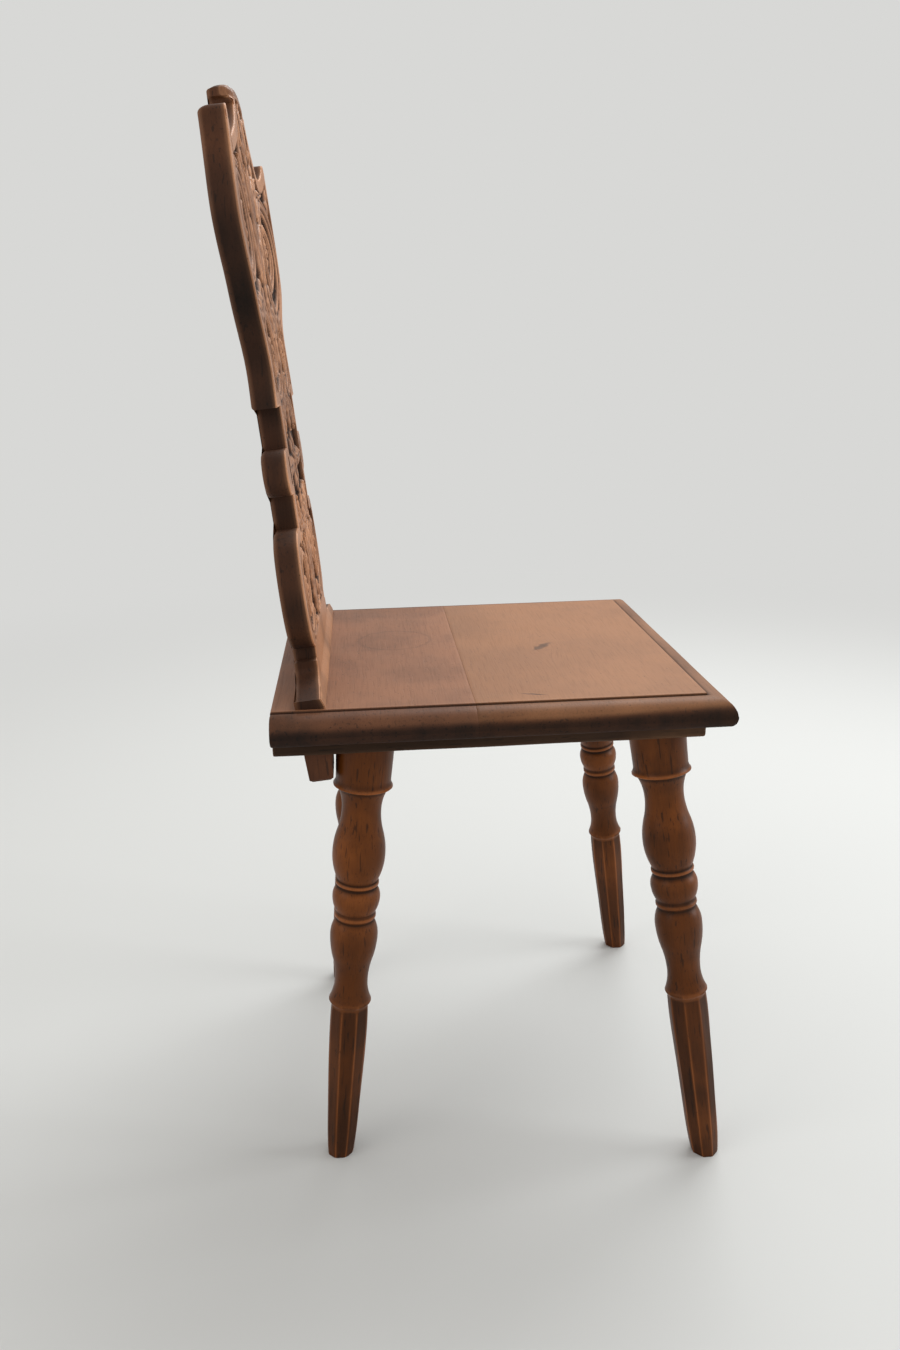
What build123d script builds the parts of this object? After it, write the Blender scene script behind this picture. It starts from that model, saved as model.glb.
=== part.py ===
"""Carved board chair.

Two edge-glued boards make the seat, with a moulding round the front and both sides.
Two battens slide into dovetail housings under the seat. Four turned legs are tenoned
into the battens and wedged from above, and the carved back board stands on the seat
with two through tenons, each locked by a key under its batten.

Millimetres. The origin is on the floor, midway between the front feet and the back of
the crest. +Z is up, the front of the chair faces -Y, and the sitter's left is +X.
"""
from build123d import *
from math import cos, radians, sin
import os

os.makedirs("parts", exist_ok=True)

# Seat boards
seat_height = 450
seat_width = 398
seat_depth = 386
seat_thickness = 25
rear_board_depth = 169
moulding_reach = 21
quirk_depth = 2
nose_drop = 17
underside_inset = 4

# Battens under the seat
batten_width = 56
batten_drop = 13
batten_outer_inset = 22
batten_front_inset = 22
batten_corner_radius = 4
dovetail_height = 10
dovetail_neck_width = 42
dovetail_flare = 3.5
dovetail_clearance = 0.2

# Legs: how far in from the seat's front and rear edges they enter the battens, and how
# far their feet stand out from there, towards the front or rear and to the side
front_leg_inset = 56
front_rake = 49.5
front_splay = 40
rear_leg_inset = 77
rear_rake = 41
rear_splay = 5

# Leg turnings from the shoulder down: each length along the leg, and the radius there
shoulder_radius = 23.8
waist_length = 34
waist_radius = 23.1
upper_flare_length = 5.5
upper_lip_radius = 25.4
upper_lip_edge = 0.8
upper_undercut_length = 2.2
cove_radius = 22
cove_length = 20.5
upper_neck_radius = 17.2
upper_swell_length = 41
upper_belly_radius = 23.4
upper_fall_length = 26
groove_radius = 17.6
groove_length = 2
ring_thickness = 4
upper_ring_radius = 19.5
bead_rise_length = 10
bead_radius = 21.2
bead_fall_length = 14
lower_ring_radius = 18.8
lower_groove_radius = 16.8
lower_rise_length = 16
lower_belly_radius = 21.3
lower_fall_length = 46
lower_neck_radius = 15
lower_flare_length = 19.5
lower_lip_radius = 19.4
lower_lip_edge = 0.8
lower_undercut_length = 8.2
lower_undercut_radius = 15.5
shaft_sides = 8
shaft_half_width = 15.9
foot_half_width = 11.4
leg_tenon_radius = 13
leg_tenon_clearance = 0.1
wedge_depth = 16
wedge_thickness = 3.2
wedge_tip_thickness = 1

# Back board
back_lean = 5.45
back_inset = 20.5
back_thickness = 25
panel_recess = 4
panel_height = 492
panel_half_width = 176
crest_rise = 4
crest_round = 8
foot_side_margin = 3
foot_height = 6.5
foot_lip = 6
foot_flare_height = 10
ledge_half_width = 126
ledge_bottom = 20
ledge_top = 26
eye_width = 7
eye_length = 24
eye_offset = 91
crest_slot_width = 6
crest_slot_length = 24
crest_slot_offset = 27
crest_slot_drop = 31

# Carving of the back board: the ground is sunk inside a plain border
carving_border = 11
carving_depth = 4.6
carving_rim = 4

# Tenons and keys of the back board
back_tenon_width = 34
back_tenon_stand_out = 31
back_tenon_rear_relief = 1.5
back_tenon_front_relief = 3.5
back_tenon_chamfer = 2.5
mortise_clearance = 0.2
key_width = 10
key_height = 11
key_taper = 3
key_clearance = 0.1

# The largest share of a wall that a fillet may take
fillet_wall_share = 0.45

# One overrun for every cut and for stock that is trimmed afterwards
overrun = 10

# Half of the back's outline from the ledge up to the crest, point by point as shares of
# the panel's half width and of its height
lower_lobe_shares = [
    (0.670, 0.074),
    (0.744, 0.085),
    (0.815, 0.118),
    (0.843, 0.172),
    (0.821, 0.224),
    (0.767, 0.258),
    (0.670, 0.277),
]
lower_neck_share = 0.557
waist_bead_shares = [(0.630, 0.336), (0.705, 0.374), (0.630, 0.412)]
upper_neck_share = 0.511
upper_lobe_shares = [
    (0.705, 0.483),
    (0.652, 0.556),
    (0.757, 0.629),
    (0.918, 0.702),
    (1.000, 0.774),
    (0.966, 0.830),
    (0.932, 0.866),
]
ear_shares = [(0.892, 0.907), (0.852, 0.921), (0.813, 0.915)]
shoulder_shares = [
    (0.784, 0.909),
    (0.705, 0.894),
    (0.636, 0.896),
    (0.477, 0.915),
    (0.330, 0.939),
    (0.261, 0.962),
]
cap_notch_shares = [(0.233, 0.971), (0.233, 0.975), (0.250, 0.980)]
cap_end_shares = (0.239, 0.986)

# What is left standing on the carving's ground, as shares of the panel's half width
# across and of its height upwards. Bows and widths are shares of the half width. A leaf on
# the middle line has the height of its root, the height of its tip and its half width.
middle_leaf_shares = [
    (0.077, 0.260, 0.085),
    (0.256, 0.321, 0.057),
    (0.492, 0.427, 0.057),
    (0.488, 0.618, 0.068),
    (0.602, 0.703, 0.063),
    (0.683, 0.898, 0.097),
    (0.882, 0.984, 0.080),
]
# The other leaves have a root, a tip, a bow to the left and a half width.
side_leaf_shares = [
    ((0.034, 0.079), (0.227, 0.252), 0.063, 0.068),
    ((0.023, 0.077), (0.284, 0.093), -0.040, 0.048),
    ((0.034, 0.260), (0.330, 0.325), -0.051, 0.063),
    ((0.273, 0.260), (0.477, 0.329), -0.034, 0.051),
    ((0.159, 0.374), (0.477, 0.374), 0.000, 0.063),
    ((0.034, 0.492), (0.330, 0.423), 0.051, 0.063),
    ((0.261, 0.484), (0.477, 0.419), 0.028, 0.045),
    ((0.028, 0.602), (0.307, 0.679), -0.051, 0.068),
    ((0.318, 0.654), (0.591, 0.606), 0.045, 0.063),
    ((0.045, 0.695), (0.205, 0.878), 0.074, 0.066),
    ((0.114, 0.687), (0.324, 0.801), 0.034, 0.057),
    ((0.239, 0.801), (0.432, 0.882), 0.040, 0.063),
]
# A scroll has its centre, its outer end, its turns, the share its radius falls to in one
# turn, and its half width.
scroll_shares = [
    ((0.523, 0.169), (0.307, 0.110), 1.50, 0.50, 0.045),
    ((0.352, 0.577), (0.148, 0.522), 1.45, 0.50, 0.043),
    ((0.591, 0.756), (0.278, 0.673), 1.60, 0.50, 0.063),
]
# A rosette has its centre, its radius and its petals.
rosette_shares = [
    ((0.523, 0.169), 0.071, 6),
    ((0.352, 0.577), 0.065, 6),
    ((0.591, 0.756), 0.090, 8),
]
middle_rosette_shares = (0.374, 0.170, 8)
petal_width_share = 0.36
scroll_taper_power = 0.55
scroll_step = 30
border_steps = 8

# Places that follow from the sizes above
lean = radians(back_lean)
panel_thickness = back_thickness - panel_recess
front_leg_setback = seat_depth - front_leg_inset
front_foot_setback = front_leg_setback + front_rake
rear_foot_setback = rear_leg_inset - rear_rake
front_reach = front_foot_setback + foot_half_width
crest_height = panel_height + crest_rise
crest_fillet = min(crest_round, panel_thickness * fillet_wall_share)
crest_setback = (crest_height - crest_fillet) * sin(lean) + crest_fillet * (1 - cos(lean))
rear_reach = crest_setback - back_inset
seat_rear_y = (front_reach - rear_reach) / 2
seat_front_y = seat_rear_y - seat_depth
joint_y = seat_rear_y - rear_board_depth
seat_underside = seat_height - seat_thickness
plateau_half_width = seat_width / 2 - moulding_reach
batten_x = seat_width / 2 - batten_outer_inset - batten_width / 2
batten_underside = seat_underside - batten_drop
batten_length = seat_depth - batten_front_inset
tongue_top = seat_underside + dovetail_height
tenon_shoulder = (seat_height - batten_underside) / cos(lean)
tenon_length = tenon_shoulder + back_tenon_stand_out / cos(lean)
foot_half_length = plateau_half_width - foot_side_margin
cove_foot_half_width = foot_half_length - foot_lip
eye_height = waist_bead_shares[1][1] * panel_height
crest_slot_height = panel_height - crest_slot_drop

# Heights of the turnings above the shoulder, all below it
waist_z = -waist_length
upper_lip_z = waist_z - upper_flare_length
cove_z = upper_lip_z - upper_lip_edge - upper_undercut_length
upper_neck_z = cove_z - cove_length
upper_belly_z = upper_neck_z - upper_swell_length
upper_ring_z = upper_belly_z - upper_fall_length
bead_top_z = upper_ring_z - ring_thickness - groove_length
bead_z = bead_top_z - bead_rise_length
bead_foot_z = bead_z - bead_fall_length
lower_ring_z = bead_foot_z - groove_length
lower_groove_z = lower_ring_z - ring_thickness - groove_length
lower_belly_z = lower_groove_z - lower_rise_length
lower_neck_z = lower_belly_z - lower_fall_length
lower_lip_z = lower_neck_z - lower_flare_length
undercut_z = lower_lip_z - lower_lip_edge - lower_undercut_length

side_names = {-1: "right", 1: "left"}
leg_ends = {
    "front": (front_leg_setback, front_foot_setback, batten_x + front_splay),
    "rear": (rear_leg_inset, rear_foot_setback, batten_x + rear_splay),
}

back_plane = Plane(
    origin=(0, seat_rear_y - back_inset, seat_height),
    x_dir=(1, 0, 0),
    z_dir=(0, -cos(lean), sin(lean)),
)
back_side_plane = Plane(origin=back_plane.origin, x_dir=back_plane.z_dir, z_dir=(-1, 0, 0))

upwards = (0, 1)
downwards = (0, -1)


def moulding_waste(reach):
    """What the moulding plane takes off an edge that lies at x = reach.

    The profile steps down by the quirk, swells over the ovolo to the nose, where it is
    upright, and curves back in to the underside.
    """
    nose = (reach, seat_height - nose_drop)
    quirk = (reach - moulding_reach, seat_height - quirk_depth)
    underside_edge = (reach - underside_inset, seat_underside)
    outside = reach + overrun
    with BuildSketch() as waste:
        with BuildLine():
            TangentArc(nose, quirk, tangent=upwards)
            TangentArc(nose, underside_edge, tangent=downwards)
            Polyline(
                underside_edge,
                (underside_edge[0], seat_underside - overrun),
                (outside, seat_underside - overrun),
                (outside, seat_height + overrun),
                (quirk[0], seat_height + overrun),
                quirk,
            )
        make_face()
    return waste.sketch


def dovetail_section(clearance):
    """The tongue's section above the seat's underside, let out by a clearance."""
    neck = dovetail_neck_width / 2 + clearance
    head = neck + dovetail_flare
    top = dovetail_height + clearance
    with BuildSketch() as section:
        with BuildLine():
            Polyline((-neck, 0), (neck, 0), (head, top), (-head, top), close=True)
        make_face()
    return section.sketch


def rear_plane(x, z):
    """An upright plane on the seat's rear edge, whose normal points to the front."""
    return Plane(origin=(x, seat_rear_y, z), x_dir=(1, 0, 0), z_dir=(0, -1, 0))


def back_mortises():
    """Stock for both slanted mortises, a clearance larger than the tenons all round."""
    length = tenon_length + 2 * overrun
    with BuildPart() as stock:
        with BuildSketch(back_plane.offset(-mortise_clearance)):
            with Locations(*[(side * batten_x, overrun) for side in side_names]):
                Rectangle(
                    back_tenon_width + 2 * mortise_clearance,
                    length,
                    align=(Align.CENTER, Align.MAX),
                )
        extrude(amount=back_thickness + 2 * mortise_clearance)
    return stock.part


def leg_plane(side, end):
    """The plane across a leg at its shoulder's centre, with its normal up the leg."""
    top_setback, foot_setback, foot_offset = leg_ends[end]
    top = Vector(side * batten_x, seat_rear_y - top_setback, batten_underside)
    foot = Vector(side * foot_offset, seat_rear_y - foot_setback, 0)
    up = (top - foot).normalized()
    return Plane(origin=top, x_dir=(up.Z, 0, -up.X), z_dir=up)


# Seat: the boards are planed to the moulding along both sides and across the front,
# where the two profiles meet in mitres. One cut then parts the two boards.
side_waste = moulding_waste(seat_width / 2)
front_waste = moulding_waste(seat_depth)
housing_section = dovetail_section(dovetail_clearance)
mortises = back_mortises()
joint_plane = rear_plane(0, 0).offset(rear_board_depth)
side_plane = Plane(
    origin=(seat_width / 2 + overrun, seat_rear_y, 0), x_dir=(0, -1, 0), z_dir=(-1, 0, 0)
)

with BuildPart() as seat:
    with BuildSketch(rear_plane(0, seat_underside)):
        Rectangle(seat_width, seat_thickness, align=(Align.CENTER, Align.MIN))
    extrude(amount=seat_depth)
    with BuildSketch(rear_plane(0, 0).offset(-overrun)):
        add(side_waste)
        mirror(about=Plane.YZ)
    extrude(amount=seat_depth + 2 * overrun, mode=Mode.SUBTRACT)
    with BuildSketch(side_plane):
        add(front_waste)
    extrude(amount=seat_width + 2 * overrun, mode=Mode.SUBTRACT)
    for side in side_names:
        with BuildSketch(rear_plane(side * batten_x, seat_underside)):
            add(housing_section)
        extrude(amount=batten_length + dovetail_clearance, mode=Mode.SUBTRACT)
    add(mortises, mode=Mode.SUBTRACT)

with BuildPart() as seat_front_board:
    add(seat.part)
    split(bisect_by=joint_plane, keep=Keep.TOP)
seat_front_board.part.label = "seat_front_board"
export_step(seat_front_board.part, "parts/seat_front_board.step")

with BuildPart() as seat_rear_board:
    add(seat.part)
    split(bisect_by=joint_plane, keep=Keep.BOTTOM)
seat_rear_board.part.label = "seat_rear_board"
export_step(seat_rear_board.part, "parts/seat_rear_board.step")

# Battens: each slides into its housing from behind and takes two legs and one tenon.
tongue_section = dovetail_section(0)
hole_length = tongue_top - batten_underside + 2 * overrun

for side, side_name in side_names.items():
    with BuildPart() as batten:
        with BuildSketch(rear_plane(side * batten_x, seat_underside)) as bar:
            Rectangle(batten_width, batten_drop, align=(Align.CENTER, Align.MAX))
            fillet(bar.vertices().group_by(Axis.Z)[0], batten_corner_radius)
        extrude(amount=batten_length)
        with BuildSketch(rear_plane(side * batten_x, seat_underside)):
            add(tongue_section)
        extrude(amount=batten_length)
        for end in leg_ends:
            with BuildSketch(leg_plane(side, end).offset(-overrun)):
                Circle(leg_tenon_radius + leg_tenon_clearance)
            extrude(amount=hole_length, mode=Mode.SUBTRACT)
        add(mortises, mode=Mode.SUBTRACT)
    batten.part.label = f"batten_{side_name}"
    export_step(batten.part, f"parts/batten_{side_name}.step")


# Legs: turned from the shoulder down to the lower lip, and eight-sided below it. The
# round tenon is sawn across for a wedge and trimmed level with the batten's tongue.
def ogee(start, end):
    """Two equal arcs in an S, upright at both ends: x is the radius, y the height."""
    middle = ((start[0] + end[0]) / 2, (start[1] + end[1]) / 2)
    TangentArc(start, middle, tangent=downwards)
    TangentArc(end, middle, tangent=upwards)


def ring(top, radius):
    """A small ring with bevelled corners, and its lower end on the groove."""
    bevel = ring_thickness / 4
    Polyline(
        (groove_radius, top),
        (radius, top - bevel),
        (radius, top - ring_thickness + bevel),
        (groove_radius, top - ring_thickness),
    )


def turned_section():
    """Half of the turned section: x is the radius and y the height above the shoulder."""
    with BuildSketch() as section:
        with BuildLine():
            Polyline(
                (0, overrun),
                (shoulder_radius, overrun),
                (shoulder_radius, 0),
                (waist_radius, waist_z),
            )
            TangentArc(
                (waist_radius, waist_z), (upper_lip_radius, upper_lip_z), tangent=downwards
            )
            Polyline(
                (upper_lip_radius, upper_lip_z),
                (upper_lip_radius, upper_lip_z - upper_lip_edge),
                (cove_radius, cove_z),
            )
            TangentArc(
                (upper_neck_radius, upper_neck_z), (cove_radius, cove_z), tangent=upwards
            )
            ogee((upper_neck_radius, upper_neck_z), (upper_belly_radius, upper_belly_z))
            TangentArc(
                (upper_belly_radius, upper_belly_z),
                (groove_radius, upper_ring_z),
                tangent=downwards,
            )
            ring(upper_ring_z, upper_ring_radius)
            Line((groove_radius, upper_ring_z - ring_thickness), (groove_radius, bead_top_z))
            TangentArc((bead_radius, bead_z), (groove_radius, bead_top_z), tangent=upwards)
            TangentArc((bead_radius, bead_z), (groove_radius, bead_foot_z), tangent=downwards)
            Line((groove_radius, bead_foot_z), (groove_radius, lower_ring_z))
            ring(lower_ring_z, lower_ring_radius)
            Line(
                (groove_radius, lower_ring_z - ring_thickness),
                (lower_groove_radius, lower_groove_z),
            )
            TangentArc(
                (lower_belly_radius, lower_belly_z),
                (lower_groove_radius, lower_groove_z),
                tangent=upwards,
            )
            ogee((lower_belly_radius, lower_belly_z), (lower_neck_radius, lower_neck_z))
            TangentArc(
                (lower_neck_radius, lower_neck_z),
                (lower_lip_radius, lower_lip_z),
                tangent=downwards,
            )
            Polyline(
                (lower_lip_radius, lower_lip_z),
                (lower_lip_radius, lower_lip_z - lower_lip_edge),
                (lower_undercut_radius, undercut_z),
                (0, undercut_z),
                (0, overrun),
            )
        make_face()
    return section.sketch


def kerf_section(rise):
    """The wedge's tapered section, running on above its top, which lies at rise."""
    half_slope = (wedge_thickness - wedge_tip_thickness) / 2 / wedge_depth
    half_top = wedge_thickness / 2 + half_slope * overrun
    half_tip = wedge_tip_thickness / 2
    with BuildSketch() as section:
        with BuildLine():
            Polyline(
                (-half_tip, rise - wedge_depth),
                (half_tip, rise - wedge_depth),
                (half_top, rise + overrun),
                (-half_top, rise + overrun),
                close=True,
            )
        make_face()
    return section.sketch


def tenon_rise(across):
    """Length of a leg's tenon along its axis."""
    return (tongue_top - batten_underside) / across.z_dir.Z


def kerf_plane(across):
    """The plane along a leg's axis that its kerf and wedge are drawn on."""
    return Plane(origin=across.origin, x_dir=across.y_dir, z_dir=across.x_dir)


def shaft_section(depth, length):
    """The eight-sided shaft's section at a depth below the shoulder."""
    share = (depth + lower_lip_z) / (length + lower_lip_z)
    half_width = shaft_half_width + (foot_half_width - shaft_half_width) * share
    with BuildSketch() as section:
        RegularPolygon(
            half_width,
            shaft_sides,
            major_radius=False,
            rotation=180 / shaft_sides,
        )
    return section.sketch


turning = turned_section()

for end in leg_ends:
    for side, side_name in side_names.items():
        across = leg_plane(side, end)
        along = Plane(origin=across.origin, x_dir=across.x_dir, z_dir=-across.y_dir)
        rise = tenon_rise(across)
        leg_length = batten_underside / across.z_dir.Z
        kerf = kerf_section(rise)
        stock_end = leg_length + overrun
        shaft_top = shaft_section(-lower_lip_z, leg_length)
        shaft_end = shaft_section(stock_end, leg_length)
        with BuildPart() as leg:
            with BuildSketch(along):
                add(turning)
            revolve(axis=Axis(across.origin, across.z_dir))
            split(bisect_by=Plane.XY.offset(batten_underside), keep=Keep.BOTTOM)
            with BuildSketch(across.offset(lower_lip_z)):
                add(shaft_top)
            with BuildSketch(across.offset(-stock_end)):
                add(shaft_end)
            loft()
            split(bisect_by=Plane.XY, keep=Keep.TOP)
            with BuildSketch(across.offset(-overrun)):
                Circle(leg_tenon_radius)
            extrude(amount=rise + 2 * overrun)
            split(bisect_by=Plane.XY.offset(tongue_top), keep=Keep.BOTTOM)
            with BuildSketch(kerf_plane(across)):
                add(kerf)
            extrude(amount=leg_tenon_radius, both=True, mode=Mode.SUBTRACT)
        leg.part.label = f"leg_{end}_{side_name}"
        export_step(leg.part, f"parts/leg_{end}_{side_name}.step")


# Leg wedges: each fills its kerf and is trimmed to the round of the tenon.
def leg_wedge(side, end):
    """One wedge in its place."""
    across = leg_plane(side, end)
    kerf = kerf_section(tenon_rise(across))
    with BuildPart() as wedge:
        with BuildSketch(across.offset(-overrun)):
            Circle(leg_tenon_radius)
        extrude(amount=tenon_rise(across) + 2 * overrun)
        with BuildSketch(kerf_plane(across)):
            add(kerf)
        extrude(amount=leg_tenon_radius, both=True, mode=Mode.INTERSECT)
        split(bisect_by=Plane.XY.offset(tongue_top), keep=Keep.BOTTOM)
    return wedge.part


wedges = [leg_wedge(side, end) for end in leg_ends for side in side_names]

with BuildPart() as leg_wedges:
    add(wedges)
leg_wedges.part.label = "leg_wedges"
export_step(leg_wedges.part, "parts/leg_wedges.step")


# Back board: the outline is sawn from one board, whose front face is thinned above the
# foot. It is pierced by two eyes at the waist and two slots under the crest, and its
# tenons taper below the battens.
def outline_points(shares):
    """Points of the back's outline, from shares of its half width and height."""
    return [(across * panel_half_width, up * panel_height) for across, up in shares]


def back_outline():
    """The whole outline above the seat, with the foot carried on below it."""
    lower_lobe = outline_points(lower_lobe_shares)
    waist_bead = outline_points(waist_bead_shares)
    upper_lobe = outline_points(upper_lobe_shares)
    ear = outline_points(ear_shares)
    shoulder = outline_points(shoulder_shares)
    cap_notch = outline_points(cap_notch_shares)
    cap_end = (
        cap_end_shares[0] * panel_half_width,
        cap_end_shares[1] * panel_height + crest_rise,
    )
    lower_neck = lower_neck_share * panel_half_width
    upper_neck = upper_neck_share * panel_half_width
    with BuildSketch() as outline:
        with BuildLine():
            Polyline(
                (0, -overrun),
                (foot_half_length, -overrun),
                (foot_half_length, foot_height),
                (cove_foot_half_width, foot_height),
            )
            Spline(
                (cove_foot_half_width, foot_height),
                (ledge_half_width, ledge_bottom),
                tangents=((-1, 0), (0, 1)),
            )
            Polyline(
                (ledge_half_width, ledge_bottom),
                (ledge_half_width, ledge_top),
                (lower_lobe[0][0], ledge_top),
                lower_lobe[0],
            )
            Spline(*lower_lobe)
            Polyline(
                lower_lobe[-1],
                (lower_neck, lower_lobe[-1][1]),
                (lower_neck, waist_bead[0][1]),
                waist_bead[0],
            )
            ThreePointArc(*waist_bead)
            Polyline(
                waist_bead[-1],
                (upper_neck, waist_bead[-1][1]),
                (upper_neck, upper_lobe[0][1]),
                upper_lobe[0],
            )
            Spline(*upper_lobe)
            Line(upper_lobe[-1], ear[0])
            ThreePointArc(*ear)
            Line(ear[-1], shoulder[0])
            Spline(*shoulder)
            Polyline(shoulder[-1], *cap_notch, cap_end)
            TangentArc((0, crest_height), cap_end, tangent=(1, 0))
            Line((0, crest_height), (0, -overrun))
        make_face()
        mirror(about=Plane.YZ)
    return outline.sketch


def panel_point(shares):
    """A point of the panel, from shares of its half width and height."""
    return Vector(shares[0] * panel_half_width, shares[1] * panel_height)


def leaf(root, tip, bow, half_width):
    """A leaf between two arcs, whose middle line is bowed to the left."""
    middle = (root + tip) / 2
    left = (tip - root).rotate(Axis.Z, 90).normalized()
    with BuildSketch() as face:
        with BuildLine():
            ThreePointArc(root, middle + left * (bow + half_width), tip)
            ThreePointArc(tip, middle + left * (bow - half_width), root)
        make_face()
    return face.sketch


def scroll(centre, start, turns, shrink, half_width):
    """A band on a logarithmic spiral, which narrows as it winds inwards."""
    spoke = start - centre
    steps = round(turns * 360 / scroll_step)
    shares = [shrink ** (turns * step / steps) for step in range(steps + 1)]
    turned = [spoke.rotate(Axis.Z, 360 * turns * step / steps) for step in range(steps + 1)]
    widths = [half_width * share**scroll_taper_power for share in shares]
    ridge = [direction * share for direction, share in zip(turned, shares)]
    across = [direction.normalized() * width for direction, width in zip(turned, widths)]
    outer = [centre + point + reach for point, reach in zip(ridge, across)]
    inner = [centre + point - reach for point, reach in zip(ridge, across)]
    with BuildSketch() as band:
        with BuildLine():
            Spline(*outer)
            Line(outer[-1], inner[-1])
            Spline(*inner)
            Line(outer[0], inner[0])
        make_face()
        with Locations(centre + ridge[0]):
            Circle(widths[0])
        with Locations(centre + ridge[-1]):
            Circle(widths[-1])
    return band.sketch


def rosette(centre, radius, petals):
    """A flower of slender petals that meet in the middle."""
    half_petal = radius / 2
    with BuildSketch() as flower:
        with Locations(centre):
            with PolarLocations(half_petal, petals):
                Ellipse(half_petal, radius * petal_width_share)
    return flower.sketch


def standing_motifs():
    """Everything that stands on the carving's ground."""
    with BuildSketch() as motifs:
        for root, tip, bow, half_width in side_leaf_shares:
            add(
                leaf(
                    panel_point(root),
                    panel_point(tip),
                    bow * panel_half_width,
                    half_width * panel_half_width,
                )
            )
        for centre, start, turns, shrink, half_width in scroll_shares:
            add(
                scroll(
                    panel_point(centre),
                    panel_point(start),
                    turns,
                    shrink,
                    half_width * panel_half_width,
                )
            )
        for centre, radius, petals in rosette_shares:
            add(rosette(panel_point(centre), radius * panel_half_width, petals))
        with Locations((crest_slot_offset, crest_slot_height)):
            SlotOverall(
                crest_slot_length + 2 * carving_rim,
                crest_slot_width + 2 * carving_rim,
                rotation=90,
            )
        mirror(about=Plane.YZ)
        for root, tip, half_width in middle_leaf_shares:
            add(
                leaf(
                    panel_point((0, root)), panel_point((0, tip)), 0, half_width * panel_half_width
                )
            )
        height, radius, petals = middle_rosette_shares
        add(rosette(panel_point((0, height)), radius * panel_half_width, petals))
    return motifs.sketch


def carving_ground(outline):
    """The sunk ground inside the border, which leaves the waist beads plain.

    Where the border's inner line runs parallel to a spline of the outline, it is drawn
    again as a spline through points of its own.
    """
    bead_points = outline_points(waist_bead_shares)
    bead_bottom, bead_top = bead_points[0][1], bead_points[-1][1]
    neck = upper_neck_share * panel_half_width
    with BuildSketch() as ground:
        add(outline)
        with Locations((0, ledge_top)):
            Rectangle(
                2 * foot_half_length,
                ledge_top + 2 * overrun,
                align=(Align.CENTER, Align.MAX),
                mode=Mode.SUBTRACT,
            )
        with Locations((0, bead_bottom)):
            Rectangle(
                2 * panel_half_width,
                bead_top - bead_bottom,
                align=(Align.CENTER, Align.MIN),
                mode=Mode.SUBTRACT,
            )
            Rectangle(2 * neck, bead_top - bead_bottom, align=(Align.CENTER, Align.MIN))
        offset(amount=-carving_border)
    with BuildSketch() as redrawn:
        with BuildLine():
            for edge in ground.edges():
                if edge.geom_type == GeomType.OFFSET:
                    through = [edge @ (step / border_steps) for step in range(border_steps + 1)]
                    Spline(*through, tangents=(edge % 0, edge % 1))
                else:
                    add(edge)
        make_face()
    return redrawn.sketch


outline = back_outline()
side_points = [
    (0, crest_height + overrun),
    (panel_thickness, crest_height + overrun),
    (panel_thickness, foot_flare_height),
    (back_thickness, 0),
    (back_thickness, -tenon_shoulder),
    (back_thickness - back_tenon_front_relief, -tenon_length),
    (back_tenon_rear_relief, -tenon_length),
    (0, -tenon_shoulder),
]
key_rear_y = seat_rear_y
key_front_y = seat_rear_y - rear_leg_inset
key_slope = key_taper / back_thickness
key_middle_y = (key_rear_y + key_front_y) / 2
key_half_length = (key_rear_y - key_front_y) / 2


def key_section(clearance):
    """A key's side view, running past the tenon at both ends."""
    rear_bottom = batten_underside - key_height - key_slope * key_half_length
    front_bottom = batten_underside - key_height + key_slope * key_half_length
    with BuildSketch() as section:
        with BuildLine():
            Polyline(
                (key_rear_y, rear_bottom),
                (key_rear_y, batten_underside + clearance),
                (key_front_y, batten_underside + clearance),
                (key_front_y, front_bottom),
                close=True,
            )
        make_face()
    return section.sketch


with BuildPart() as back_blank:
    with BuildSketch(back_plane):
        add(outline)
    extrude(amount=back_thickness)
    split(bisect_by=Plane.XY.offset(seat_height), keep=Keep.TOP)
    with BuildSketch(back_plane):
        with Locations(*[(side * batten_x, foot_height) for side in side_names]):
            Rectangle(
                back_tenon_width,
                tenon_length + foot_height,
                align=(Align.CENTER, Align.MAX),
            )
    extrude(amount=back_thickness)
    with BuildSketch(back_side_plane):
        with BuildLine():
            Polyline(*side_points, close=True)
        make_face()
    extrude(amount=seat_width, both=True, mode=Mode.INTERSECT)
    tenon_ends = back_blank.faces().sort_by(Axis.Z)[:2]
    chamfer(tenon_ends.edges(), back_tenon_chamfer)
    crest_arcs = back_blank.edges().filter_by(GeomType.CIRCLE).sort_by(Axis.Z)[-2:]
    fillet(crest_arcs, crest_fillet)

slot_section = key_section(key_clearance)
ground = carving_ground(outline)
motifs = standing_motifs()

with BuildPart() as back_board:
    add(back_blank.part)
    with BuildSketch(back_plane):
        with Locations(*[(side * eye_offset, eye_height) for side in side_names]):
            SlotOverall(eye_length, eye_width, rotation=90)
        with Locations(*[(side * crest_slot_offset, crest_slot_height) for side in side_names]):
            SlotOverall(crest_slot_length, crest_slot_width, rotation=90)
    extrude(amount=back_thickness, mode=Mode.SUBTRACT)
    with BuildSketch(back_plane.offset(panel_thickness - carving_depth)):
        add(ground)
        add(motifs, mode=Mode.SUBTRACT)
    extrude(amount=carving_depth + overrun, mode=Mode.SUBTRACT)
    for side in side_names:
        with BuildSketch(Plane.YZ.offset(side * batten_x)):
            add(slot_section)
        extrude(amount=key_width / 2 + key_clearance, both=True, mode=Mode.SUBTRACT)
back_board.part.label = "back_board"
export_step(back_board.part, "parts/back_board.step")


# Back keys: tapered, driven from behind up against the batten, and trimmed flush.
def back_key(side):
    """One key in its place."""
    section = key_section(0)
    with BuildPart() as key:
        with BuildSketch(Plane.YZ.offset(side * batten_x)):
            add(section)
        extrude(amount=key_width / 2, both=True)
        add(back_blank.part, mode=Mode.INTERSECT)
    return key.part


keys = [back_key(side) for side in side_names]

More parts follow.
